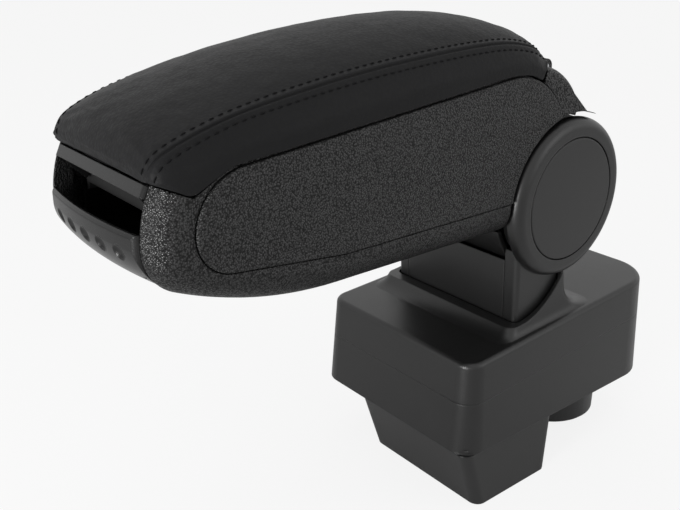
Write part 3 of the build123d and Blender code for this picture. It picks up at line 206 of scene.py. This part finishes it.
def make_leather():
    leather = Finish("pad_leather")
    folds = leather.pebbles(scale=620.0, softness=0.35)
    pores = leather.pebbles(scale=1500.0, softness=0.2)
    cloud = leather.noise(scale=35.0, detail=4.0)
    slack = leather.noise(scale=75.0, detail=2.0)
    height = folds * FOLD_HEIGHT + pores * PORE_HEIGHT + slack * SLACK_HEIGHT
    return leather.surface(
        Base_Color=leather.blend(cloud, low=(0.0060, 0.0060, 0.0064), high=(0.0105, 0.0105, 0.0110)),
        Roughness=LEATHER_ROUGH + cloud * CLOUD_ROUGH + folds * FOLD_ROUGH,
        Normal=leather.bump(height, depth=0.00022, strength=0.6),
        Sheen_Weight=0.02,
        Specular_IOR_Level=0.12,
    )


LEATHER = make_leather()
print("leather of", len(LEATHER.node_tree.nodes), "nodes")

# %% [markdown]
# ## Thread
# The stitches are a black twisted thread, duller than the leather. A very fine noise is enough for the
# twist, because a stitch is less than a millimetre thick.

# %% Thread finish
THREAD_ROUGH, TWIST_ROUGH = 0.55, 0.2


def make_thread():
    thread = Finish("stitch_thread")
    twist = thread.noise(scale=2600.0, detail=2.0)
    return thread.surface(
        Base_Color=thread.blend(twist, low=(0.002, 0.002, 0.0022), high=(0.007, 0.007, 0.0075)),
        Roughness=THREAD_ROUGH + twist * TWIST_ROUGH,
        Normal=thread.bump(twist, depth=0.0001),
        Specular_IOR_Level=0.1,
    )


THREAD = make_thread()
print("thread of", len(THREAD.node_tree.nodes), "nodes")

# %% [markdown]
# ## Grained plastic
# The tub and its side panels are moulded with a coarse pebble grain that glitters under a soft lamp.
# Bump alone leaves such a black too even. On the real grain the tops are rubbed and shine, and the dips
# between them hold dull shade, so two surfaces are mixed by the height of the grain. A slow cloud
# shifts the black, as it does in every large moulding. A rolled normal at the edges stands for the
# small radius that every mould leaves.

# %% Grained plastic
DARKER, LIGHTER = 0.8, 1.3
MIDDLE = 0.5
GRAINED_BLACK = 0.008
GRAINED_ROUGH, GRAINED_DRIFT, DIP_ROUGH = 0.30, 0.08, 0.2
TOP_MIRROR, DIP_MIRROR = 0.85, 0.12
FINE_SHARE, FINE_HEIGHT = 0.4, 0.25
TOPS_UNTIL, DIPS_FROM = 0.32, 0.90


def cloudy_black(plastic, cloud, black):
    """A black that drifts a little with a cloud."""
    return plastic.blend(cloud, low=(black * DARKER,) * 3, high=(black * LIGHTER,) * 3)


def make_grained():
    """Coarse pebble grain: the tops shine, and the dips between them hold dull shade."""
    plastic = Finish("grained_plastic")
    grain = plastic.pebbles(scale=1200.0, softness=0.3)
    fine = plastic.noise(scale=2640.0, detail=2.0)
    cloud = plastic.noise(scale=22.0, detail=3.0)
    depth = {"Value": grain + fine * FINE_SHARE, "From Min": TOPS_UNTIL, "From Max": DIPS_FROM}
    tops = plastic.node("ShaderNodeMapRange", {}, {**depth, "To Min": 1.0, "To Max": 0.0})
    tone = cloudy_black(plastic, cloud, GRAINED_BLACK)
    edges = plastic.soft_edges(radius=0.0011)
    normal = plastic.bump(fine * FINE_HEIGHT - grain, depth=0.00036, normal=edges)
    rough = GRAINED_ROUGH + (cloud - MIDDLE) * GRAINED_DRIFT
    both = {"Base_Color": tone, "Normal": normal}
    shine = plastic.shader(**both, Roughness=rough, Specular_IOR_Level=TOP_MIRROR)
    shade = plastic.shader(**both, Roughness=rough + DIP_ROUGH, Specular_IOR_Level=DIP_MIRROR)
    return plastic.done(plastic.mixed(tops, shade, shine))


GRAINED = make_grained()
print("grained plastic of", len(GRAINED.node_tree.nodes), "nodes")

# %% [markdown]
# ## Blasted, polished and liner plastic
# The base, the post and the hinge discs come out of a finely blasted mould, and the pull and the latch
# bar out of a polished one. The bin, the drawer's housing and the lid's plate are a dull liner. All are
# nearly the same black, so mostly the height of the grain and the gloss change, and one function makes
# all three.

# %% Smooth plastics
PLASTIC_DRIFT, RUBBED_DRIFT = 0.10, 0.06


def make_plastic(name, grain_scale, grain_depth, rough, edge, black=0.007, mirror=0.5):
    """Finely blasted or polished black plastic."""
    plastic = Finish(name)
    grain = plastic.pebbles(grain_scale, softness=0.45)
    cloud = plastic.noise(scale=22.0, detail=3.0)
    rubbed = plastic.noise(scale=140.0, detail=5.0)
    drift = (cloud - MIDDLE) * PLASTIC_DRIFT
    return plastic.surface(
        Base_Color=cloudy_black(plastic, cloud, black),
        Roughness=rough + drift + (rubbed - MIDDLE) * RUBBED_DRIFT,
        Normal=plastic.bump(1 - grain, grain_depth, strength=0.9, normal=plastic.soft_edges(edge)),
        Specular_IOR_Level=mirror,
    )


SATIN = make_plastic("satin_plastic", grain_scale=2400.0, grain_depth=0.00006, rough=0.33, edge=0.0013)
SMOOTH = make_plastic(
    "smooth_plastic",
    grain_scale=1500.0,
    grain_depth=0.000012,
    rough=0.22,
    edge=0.0007,
    black=0.006,
    mirror=0.34,
)
LINER = make_plastic(
    "liner_plastic", grain_scale=1800.0, grain_depth=0.00008, rough=0.55, edge=0.0004, black=0.010
)
print("smooth plastics", [finish.name for finish in (SATIN, SMOOTH, LINER)])

# %% [markdown]
# ## Steel and friction washers
# The brackets and screws are zinc-plated steel: a grey metal with a cloudy spangle and faint rolling
# lines, which are noise drawn out along one axis. The friction washers are pressed fibre, dull and
# brown-black.

# %% Steel and fibre
ZINC_ROUGH, LINE_ROUGH = 0.30, 0.2
FIBRE_ROUGH, FELT_ROUGH = 0.75, 0.2
ROLLED_OUT = (1.0, 12.0, 12.0)


def make_zinc():
    zinc = Finish("zinc_steel")
    spangle = zinc.pebbles(scale=260.0, softness=0.6)
    lines = zinc.noise(scale=160.0, detail=3.0, where=zinc.stretch(ROLLED_OUT))
    return zinc.surface(
        Base_Color=zinc.blend(spangle, low=(0.46, 0.47, 0.48), high=(0.66, 0.67, 0.68)),
        Metallic=1.0,
        Roughness=ZINC_ROUGH + lines * LINE_ROUGH,
        Normal=zinc.bump(lines, depth=0.00003, strength=0.6, normal=zinc.soft_edges(radius=0.0004)),
    )


def make_fibre():
    fibre = Finish("washer_fibre")
    felt = fibre.noise(scale=900.0, detail=5.0)
    return fibre.surface(
        Base_Color=fibre.blend(felt, low=(0.03, 0.022, 0.018), high=(0.10, 0.075, 0.06)),
        Roughness=FIBRE_ROUGH + felt * FELT_ROUGH,
        Normal=fibre.bump(felt, depth=0.0001),
    )


ZINC = make_zinc()
FIBRE = make_fibre()
print("steel and fibre", [finish.name for finish in (ZINC, FIBRE)])

# %% [markdown]
# ## Dressing the solids
# Each solid names the slot that its finish goes in, so one table from slot to finish dresses them all.
# The shapes stay as they came.

# %% Finishes on the solids
SLOT_FINISH = {
    "pad_leather": LEATHER,
    "grained_plastic": GRAINED,
    "satin_plastic": SATIN,
    "smooth_plastic": SMOOTH,
    "liner_plastic": LINER,
    "zinc_steel": ZINC,
    "washer_fibre": FIBRE,
}
for part in frame["record"]["subparts"]:
    solid = frame["nodes"][part["node"]]
    for seat in solid.material_slots:
        seat.material = SLOT_FINISH[part["material_slot"]]

# %% [markdown]
# ## The pad's lines
# A leather lid is sewn from a long top panel and two side panels. The seam between them runs from the
# rear corner along the top edge and down the front corner to the latch bar. So the pad is drawn as the
# maker would draw it: three lines from front to rear. One is the crown in the middle, one is the seam,
# and one is the lower edge that lies on the tub's rim. Each station below gives one point of each line.

# %% Stations of the pad, in millimetres
# crown (y, z), seam (x, y, z), lower edge (x, y, z)
STATIONS = [
    ((-209.6, 222.9), (41.5, -209.2, 222.9), (43.2, -208.8, 222.5)),
    ((-210.8, 228.0), (42.6, -209.0, 227.2), (47.0, -206.2, 221.7)),
    ((-207.5, 236.5), (44.0, -205.0, 232.4), (49.4, -201.0, 219.4)),
    ((-197.0, 243.4), (45.2, -196.0, 236.9), (50.9, -195.0, 217.2)),
    ((-183.0, 249.0), (45.9, -184.0, 241.1), (51.8, -186.5, 221.4)),
    ((-168.0, 253.7), (46.3, -169.0, 244.9), (52.5, -176.0, 226.1)),
    ((-145.0, 259.4), (46.6, -145.0, 249.0), (53.0, -150.0, 228.9)),
    ((-110.0, 264.8), (46.8, -110.0, 253.5), (53.0, -112.0, 232.8)),
    ((-75.0, 268.0), (46.8, -75.0, 256.4), (53.0, -76.0, 236.5)),
    ((-40.0, 268.9), (46.7, -42.0, 258.1), (52.9, -44.0, 239.8)),
    ((-12.0, 267.0), (46.3, -16.0, 257.9), (52.6, -18.0, 242.3)),
    ((9.0, 262.2), (45.4, 3.0, 254.8), (52.0, -1.0, 241.2)),
    ((20.5, 256.8), (43.6, 13.0, 250.8), (51.0, 8.4, 238.0)),
    ((25.6, 251.8), (41.0, 18.0, 248.2), (49.0, 11.6, 243.6)),
    ((26.6, 248.4), (37.6, 21.4, 246.8), (43.0, 19.0, 246.3)),
]
print(len(STATIONS), "stations")


# %% Smooth lines through the stations
def smooth_line(points, count):
    """Points along a curve that passes through every given point."""
    points = [Vector(p) for p in points]
    ends = [2 * points[0] - points[1], *points, 2 * points[-1] - points[-2]]
    line = []
    for i in range(count):
        t = i / (count - 1) * (len(points) - 1)
        k = min(int(t), len(points) - 2)
        u = t - k
        a, b, c, d = ends[k : k + 4]
        bend = 2 * b + (c - a) * u + (2 * a - 5 * b + 4 * c - d) * u**2 + (3 * b - a - 3 * c + d) * u**3
        line.append(bend / 2)
    return line


ROWS = 131
crown_line = smooth_line([(0, *s[0]) for s in STATIONS], ROWS)
seam_line = smooth_line([s[1] for s in STATIONS], ROWS)
edge_line = smooth_line([s[2] for s in STATIONS], ROWS)
seam_length = sum((b - a).length for a, b in zip(seam_line, seam_line[1:]))
print("seam", round(seam_length, 1), "mm")

# %% [markdown]
# ## The pad's skin
# Across each station the skin goes from the crown to the seam, dips into it, bulges down the side to
# the lower edge and tucks under onto the lid's plate. The section is one list of points, so every
# station has the same count and the skin is a clean grid of quads. The rows beside the seam are pressed
# in a little, as two lines of stitches press leather.

# %% Top and side panels
# Top steps are shares of the way from the crown to the seam. Band steps are shares of the band beside
# the seam, counted from the seam. Side steps are shares of the way from the band to the lower edge.
TOP_STEPS = [0.0, 0.12, 0.24, 0.36, 0.47, 0.57, 0.66, 0.74, 0.81, 0.87]
TOP_BAND = [1.5, 1.0, 0.5, 0.2]
SIDE_BAND = [0.2, 0.5, 1.0, 1.4]
SIDE_STEPS = [0.34, 0.45, 0.56, 0.67, 0.78, 0.88, 0.95, 1.0]
STITCHED_AT = 1.0
SEAM_BAND = 3.1
SEAM_DIP = 1.9
STITCH_DIP = 0.55
INWARD = Vector((-0.75, 0.0, -0.65))
CROWN_POWER = 2.6
SIDE_FULLNESS = 1.35


def top_point(crown, seam, share):
    """A point of the top panel, from the crown at 0 to the seam at 1."""
    fall = 1 - share**CROWN_POWER
    return Vector((seam.x * share, *(seam + (crown - seam) * fall)[1:]))


def side_point(seam, edge, share):
    """A point of the side panel, from the seam at 0 to the lower edge at 1."""
    spot = seam.lerp(edge, share)
    out = sin(pi / 2 * min(1.0, share * SIDE_FULLNESS))
    spot.x = seam.x + (edge.x - seam.x) * out
    return spot


def pressed(step):
    """How a point of the band is moved by the stitches."""
    return INWARD * (STITCH_DIP if step == STITCHED_AT else 0.0)


print("panels of", len(TOP_STEPS + TOP_BAND), "and", len(SIDE_BAND + SIDE_STEPS), "points")

# %% Tuck under the pad
# The lid's plate carries the pad. Its front and rear give (y, z) of its top.
PLATE_FRONT = (-200.2, 223.6)
PLATE_REAR = (14.0, 245.1)
TUCK = Vector((-1.4, 0.0, -0.1))
LIP_IN, LIP_WIDEST, LIP_UP = 3.2, 47.6, 0.2
HEM_IN, HEM_WIDEST, HEM_UP = 4.4, 46.6, 0.3
HALFWAY = 0.5
LEAST_FOAM = 0.2


def plate_top(y):
    """Height of the lid's plate at y."""
    slope = (PLATE_REAR[1] - PLATE_FRONT[1]) / (PLATE_REAR[0] - PLATE_FRONT[0])
    return PLATE_FRONT[1] + slope * (y - PLATE_FRONT[0])


def underside(crown, seam, edge):
    """Points from the lower edge, round the lip and the hem to the middle of the plate."""
    hem = max(edge.z + HEM_UP, plate_top(edge.y))
    middle = plate_top(crown.y)
    return [
        edge + TUCK,
        Vector((min(edge.x - LIP_IN, LIP_WIDEST), edge.y, edge.z + LIP_UP)),
        Vector((min(edge.x - HEM_IN, HEM_WIDEST), edge.y, hem)),
        Vector((seam.x * HALFWAY, (edge.y + crown.y) / 2, max(hem, middle))),
        Vector((0.0, crown.y, min(middle, crown.z - LEAST_FOAM))),
    ]


print("plate rises", round(PLATE_REAR[1] - PLATE_FRONT[1], 1), "mm to the rear")


# %% Sections of the pad
def half_section(crown, seam, edge):
    """Points of the right half, from the crown down to the middle of the underside."""
    band = SEAM_BAND / max(seam.x, 1.0)
    side_band = SEAM_BAND / max((edge - seam).length, 2 * SEAM_BAND)
    below = side_band * SIDE_BAND[-1]
    points = [top_point(crown, seam, step) for step in TOP_STEPS]
    points += [top_point(crown, seam, 1 - band * step) + pressed(step) for step in TOP_BAND]
    points.append(seam + INWARD * SEAM_DIP)
    points += [side_point(seam, edge, side_band * step) + pressed(step) for step in SIDE_BAND]
    points += [side_point(seam, edge, below + (1 - below) * step) for step in SIDE_STEPS]
    return points + underside(crown, seam, edge)


sections = []
for crown, seam, edge in zip(crown_line, seam_line, edge_line):
    half = half_section(crown, seam, edge)
    other_half = [Vector((-p.x, p.y, p.z)) for p in half[1:-1]]
    sections.append(half + other_half[::-1])
RING = len(sections[0])
print("section of", RING, "points,", len(sections), "rows")

# %% [markdown]
# ## Sewing the skin
# The sections are joined ring by ring into one closed skin. The stitches will be closed tubes too, so
# the faces come from a helper that serves both. The faces are then turned to look outwards, because
# the pressure inside pushes along them.


# %% Pieces and tubes
def new_piece(name, body, finish, points, faces):
    """A mesh piece, in millimetres, that rides on a body and takes a slot's finish."""
    mesh = bpy.data.meshes.new(name)
    mesh.from_pydata([tuple(Vector(p) * MM) for p in points], [], faces)
    mesh.materials.append(finish)
    mesh.shade_smooth()
    piece = bpy.data.objects.new(name, mesh)
    bpy.context.scene.collection.objects.link(piece)
    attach(piece, body)
    return piece


def tube_faces(start, rings, sides):
    """Faces of a closed tube whose points begin at start, with a cap on each end."""
    faces = []
    for ring in range(rings - 1):
        near = start + ring * sides
        far = near + sides
        for side in range(sides):
            beside = (side + 1) % sides
            faces.append((near + side, near + beside, far + beside, far + side))
    last = start + (rings - 1) * sides
    faces.append(tuple(start + side for side in range(sides))[::-1])
    faces.append(tuple(last + side for side in range(sides)))
    return faces


print("a box-shaped tube has", len(tube_faces(0, 2, 4)), "faces")

# %% Sew the skin
skin_points = [p for section in sections for p in section]
skin_faces = tube_faces(0, ROWS, RING)
pad_cover = new_piece("pad_cover", "lid", LEATHER, skin_points, skin_faces)
fixer = bmesh.new()
fixer.from_mesh(pad_cover.data)
bmesh.ops.recalc_face_normals(fixer, faces=fixer.faces)
fixer.to_mesh(pad_cover.data)
fixer.free()
print("pad faces", len(pad_cover.data.polygons))

# %% [markdown]
# ## Filling the pad
# Foam presses the leather out between the lines where it is held: the seam with its stitches, and the
# lower edge that is stapled under the plate. So the skin is run as cloth with pressure inside and no
# gravity. The held rows stay pinned, and no point may move further than the foam could push it. The
# moved points are then written into the mesh, so nothing is left to simulate.

# %% Held points of the skin
HELD_END_ROWS = 2
STAPLED_FROM = 0.88
SEAM_AT = len(TOP_STEPS) + len(TOP_BAND)
TOP_STITCH = len(TOP_STEPS) + TOP_BAND.index(STITCHED_AT)
SIDE_STITCH = SEAM_AT + 1 + SIDE_BAND.index(STITCHED_AT)
STAPLED = SEAM_AT + 1 + len(SIDE_BAND) + SIDE_STEPS.index(STAPLED_FROM)
HELD = {*range(TOP_STITCH, SIDE_STITCH + 1), *range(STAPLED, RING // 2 + 1)}
held_points = [
    row * RING + i
    for row in range(ROWS)
    for i in range(RING)
    if min(i, RING - i) in HELD or row < HELD_END_ROWS or row >= ROWS - HELD_END_ROWS
]
print("held", len(held_points), "of", len(skin_points), "points")

# %% Puff the skin between its seams
PUFF_CAP = 1.0
PUFF_FRAMES = 20
FOAM_PRESSURE = 4.0
SKIN_MASS = 0.03
SKIN_STRETCH, SKIN_SHEAR = 2.0, 1.0
NO_MOVE = 1e-9


def puff(piece, held, cap):
    """Swell a closed skin as cloth, keep the held points, and return the largest move."""
    pins = piece.vertex_groups.new(name="sewn")
    pins.add(held, 1.0, "REPLACE")
    cloth = piece.modifiers.new("foam", "CLOTH")
    cloth.settings.vertex_group_mass = pins.name
    cloth.settings.mass = SKIN_MASS
    cloth.settings.tension_stiffness = SKIN_STRETCH
    cloth.settings.compression_stiffness = SKIN_STRETCH
    cloth.settings.shear_stiffness = SKIN_SHEAR
    cloth.settings.use_pressure = True
    cloth.settings.uniform_pressure_force = FOAM_PRESSURE
    cloth.settings.effector_weights.gravity = 0.0
    for number in range(1, PUFF_FRAMES + 1):
        bpy.context.scene.frame_set(number)
    swollen = piece.evaluated_get(bpy.context.evaluated_depsgraph_get())
    ends = [v.co.copy() for v in swollen.data.vertices]
    piece.modifiers.remove(cloth)
    piece.vertex_groups.remove(pins)
    bpy.context.scene.frame_set(1)
    largest = 0.0
    for vertex, end in zip(piece.data.vertices, ends):
        move = end - vertex.co
        largest = max(largest, move.length)
        vertex.co += move * min(1.0, cap / max(move.length, NO_MOVE))
    return largest


swell = puff(pad_cover, held_points, PUFF_CAP * MM)
print("swelled", round(swell / MM, 2), "mm before the cap")

# %% Finish the pad
smoother = pad_cover.modifiers.new("smooth", "SUBSURF")
smoother.levels = 1
smoother.render_levels = 1
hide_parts("lid_pad")
bpy.context.view_layer.update()
pad_now = pad_cover.evaluated_get(bpy.context.evaluated_depsgraph_get())
pad_mesh = pad_now.to_mesh()
skin_tree = BVHTree.FromPolygons(
    [v.co / MM for v in pad_mesh.vertices], [tuple(f.vertices) for f in pad_mesh.polygons]
)
print("finished pad has", len(pad_mesh.polygons), "faces")
pad_now.to_mesh_clear()

# %% [markdown]
# ## Stitches
# Two rows of stitches run beside each seam, one on the top panel and one on the side panel. Each stitch
# is a short length of thread that comes out of the leather, lies on it and goes back in, so it is a thin
# rod with its ends sunk. The rows follow the dips that were pressed into the skin, and each stitch is
# dropped onto the finished surface.

# %% One stitch
STITCH_PITCH = 4.3
STITCH_HALF = 1.45
STITCH_RADIUS = 0.42
STITCH_TAPER = 0.45
STITCH_LIFT, STITCH_SINK = 0.22, 0.5
STITCH_RINGS, STITCH_SIDES = 5, 6


def stitch_points(foot, out, ahead):
    """Rings of one stitch, lifted in the middle and sunk at both ends."""
    across = out.cross(ahead).normalized()
    points = []
    for ring in range(STITCH_RINGS):
        share = 2 * ring / (STITCH_RINGS - 1) - 1
        middle = foot + ahead * share * STITCH_HALF + out * (STITCH_LIFT - STITCH_SINK * share**4)
        radius = STITCH_RADIUS * (1 - STITCH_TAPER * share**2)
        for side in range(STITCH_SIDES):
            turn = 2 * pi * side / STITCH_SIDES
            points.append(middle + (across * cos(turn) + out * sin(turn)) * radius)
    return points


def even_spots(line, pitch):
    """Places and directions at even steps along a line."""
    spots = []
    walked = 0.0
    due = pitch
    for a, b in zip(line, line[1:]):
        step = (b - a).length
        while due <= walked + step:
            spots.append((a.lerp(b, (due - walked) / step), (b - a).normalized()))
            due += pitch
        walked += step
    return spots


print("stitch", 2 * STITCH_HALF, "mm long at every", STITCH_PITCH, "mm")

# %% Sew the stitches
thread_points = []
thread_faces = []
for i in (TOP_STITCH, SIDE_STITCH, RING - TOP_STITCH, RING - SIDE_STITCH):
    for spot, ahead in even_spots([section[i] for section in sections], STITCH_PITCH):
        foot, out, _, _ = skin_tree.find_nearest(spot)
        thread_faces += tube_faces(len(thread_points), STITCH_RINGS, STITCH_SIDES)
        thread_points += stitch_points(foot, out, ahead)
new_piece("pad_stitches", "lid", THREAD, thread_points, thread_faces)
print("stitches", len(thread_points) // (STITCH_RINGS * STITCH_SIDES))

# %% [markdown]
# ## The floor
# The armrest stands on a plain white floor in a white booth, so every face mirrors something pale and
# the black shows its shape by its edges. A matt floor under soft lamps would come out grey, and more
# light would wash out the black. So most of the floor's white is shown to the camera alone, and the
# rest is matt and takes the shadow.

# %% Floor
WHITE = (1.0, 1.0, 1.0, 1.0)
FLOOR_MATT = (0.9, 0.9, 0.9, 1.0)
FLOOR_SHOWN = 0.85
FLOOR_HALF = 6.0
FLOOR_DROP = 0.0002
CORNERS = [(-1, -1), (1, -1), (1, 1), (-1, 1)]


def make_floor():
    floor = Graph(bpy.data.materials.new("white_floor"))
    ray = floor.node("ShaderNodeLightPath", {}, {}, "Is Camera Ray")
    matt = floor.node("ShaderNodeBsdfDiffuse", {}, {"Color": FLOOR_MATT})
    shown = floor.node("ShaderNodeEmission", {}, {"Color": WHITE, "Strength": 1.0})
    return floor.done(floor.mixed(ray * FLOOR_SHOWN, matt, shown))


floor_mesh = bpy.data.meshes.new("floor")
floor_points = [(FLOOR_HALF * x, FLOOR_HALF * y, -FLOOR_DROP) for x, y in CORNERS]
floor_mesh.from_pydata(floor_points, [], [(0, 1, 2, 3)])
floor_mesh.materials.append(make_floor())
floor_piece = bpy.data.objects.new("floor", floor_mesh)
bpy.context.scene.collection.objects.link(floor_piece)
print("floor", 2 * FLOOR_HALF, "m wide")

# %% [markdown]
# ## The booth and its lamps
# The walls have three strengths: what they throw on the armrest, what shiny plastic and steel mirror,
# and what the camera sees behind the floor. Only the first is light on the object, so it stays at a
# plain level. A small lamp in front draws the bright line on the nose, a wide one above lights the pad,
# and one at the right rear keeps the hinge from sinking into the dark.

# %% Walls of the booth
BOOTH_LIGHT, BOOTH_MIRRORED, BOOTH_SEEN = 0.50, 0.90, 0.96
booth = Graph(bpy.data.worlds.new("booth"))
wall_light, wall_mirrored, wall_seen = [
    booth.node("ShaderNodeBackground", {}, {"Color": WHITE, "Strength": strength})
    for strength in (BOOTH_LIGHT, BOOTH_MIRRORED, BOOTH_SEEN)
]
glossy_ray = booth.node("ShaderNodeLightPath", {}, {}, "Is Glossy Ray")
camera_ray = booth.node("ShaderNodeLightPath", {}, {}, "Is Camera Ray")
by_gloss = booth.mixed(glossy_ray, wall_light, wall_mirrored)
by_camera = booth.mixed(camera_ray, by_gloss, wall_seen)
bpy.context.scene.world = booth.done(by_camera, "ShaderNodeOutputWorld")
print("walls light", BOOTH_LIGHT, "mirrored", BOOTH_MIRRORED, "seen", BOOTH_SEEN)

# %% Lamps
TARGET = Vector((0.0, -0.05, 0.15))


def softbox(name, place, width, height, watts):
    """A rectangular lamp that looks at the armrest."""
    lamp = bpy.data.lights.new(name, "AREA")
    lamp.shape = "RECTANGLE"
    lamp.size = width
    lamp.size_y = height
    lamp.energy = watts
    stand = bpy.data.objects.new(name, lamp)
    stand.location = place
    stand.rotation_euler = (TARGET - Vector(place)).to_track_quat("-Z", "Y").to_euler()
    bpy.context.scene.collection.objects.link(stand)
    print(name, watts, "W")


softbox("lamp_top", place=(-0.10, -0.10, 1.25), width=0.9, height=0.9, watts=1.5)
softbox("lamp_front", place=(0.26, -1.15, 0.20), width=0.22, height=0.26, watts=9.0)
softbox("lamp_right", place=(1.10, 0.55, 0.60), width=0.7, height=0.7, watts=2.0)

# %% [markdown]
# ## The camera
# The camera looks down on the front right of the armrest, as in the picture. Its place and lens were
# worked out from the straight lines of the base, so the proportions hold without any shift.

# %% Camera
IMAGE_WIDTH = 680
FOCAL_PIXELS = 877.4
SENSOR_WIDTH = 36.0
NEAREST = 0.01
AZIMUTH, ELEVATION, ROLL = radians(50.30), radians(21.93), radians(0.577)
EYE = Vector((0.3274, -0.3529, 0.3203))
back = Vector((sin(AZIMUTH) * cos(ELEVATION), -cos(AZIMUTH) * cos(ELEVATION), sin(ELEVATION)))
level = Vector((cos(AZIMUTH), sin(AZIMUTH), 0.0))
upright = back.cross(level)
right = level * cos(ROLL) + upright * sin(ROLL)
up = upright * cos(ROLL) - level * sin(ROLL)
lens = bpy.data.cameras.new("camera")
lens.sensor_width = SENSOR_WIDTH
lens.lens = FOCAL_PIXELS / IMAGE_WIDTH * SENSOR_WIDTH
lens.clip_start = NEAREST
camera = bpy.data.objects.new("camera", lens)
camera.matrix_world = Matrix(
    [[right[i], up[i], back[i], EYE[i]] for i in range(3)] + [[0.0, 0.0, 0.0, 1.0]]
)
bpy.context.scene.collection.objects.link(camera)
bpy.context.scene.camera = camera
bpy.context.scene.view_settings.view_transform = "Standard"
print("lens", round(lens.lens, 2), "mm")

# %% [markdown]
# ## Bringing the scene up to date
# A dressed part has to keep the size of its solids, or it would not fit the console it was drawn for.
# Last, the scene is brought up to date once more.

# %% Update the scene
bpy.context.view_layer.update()
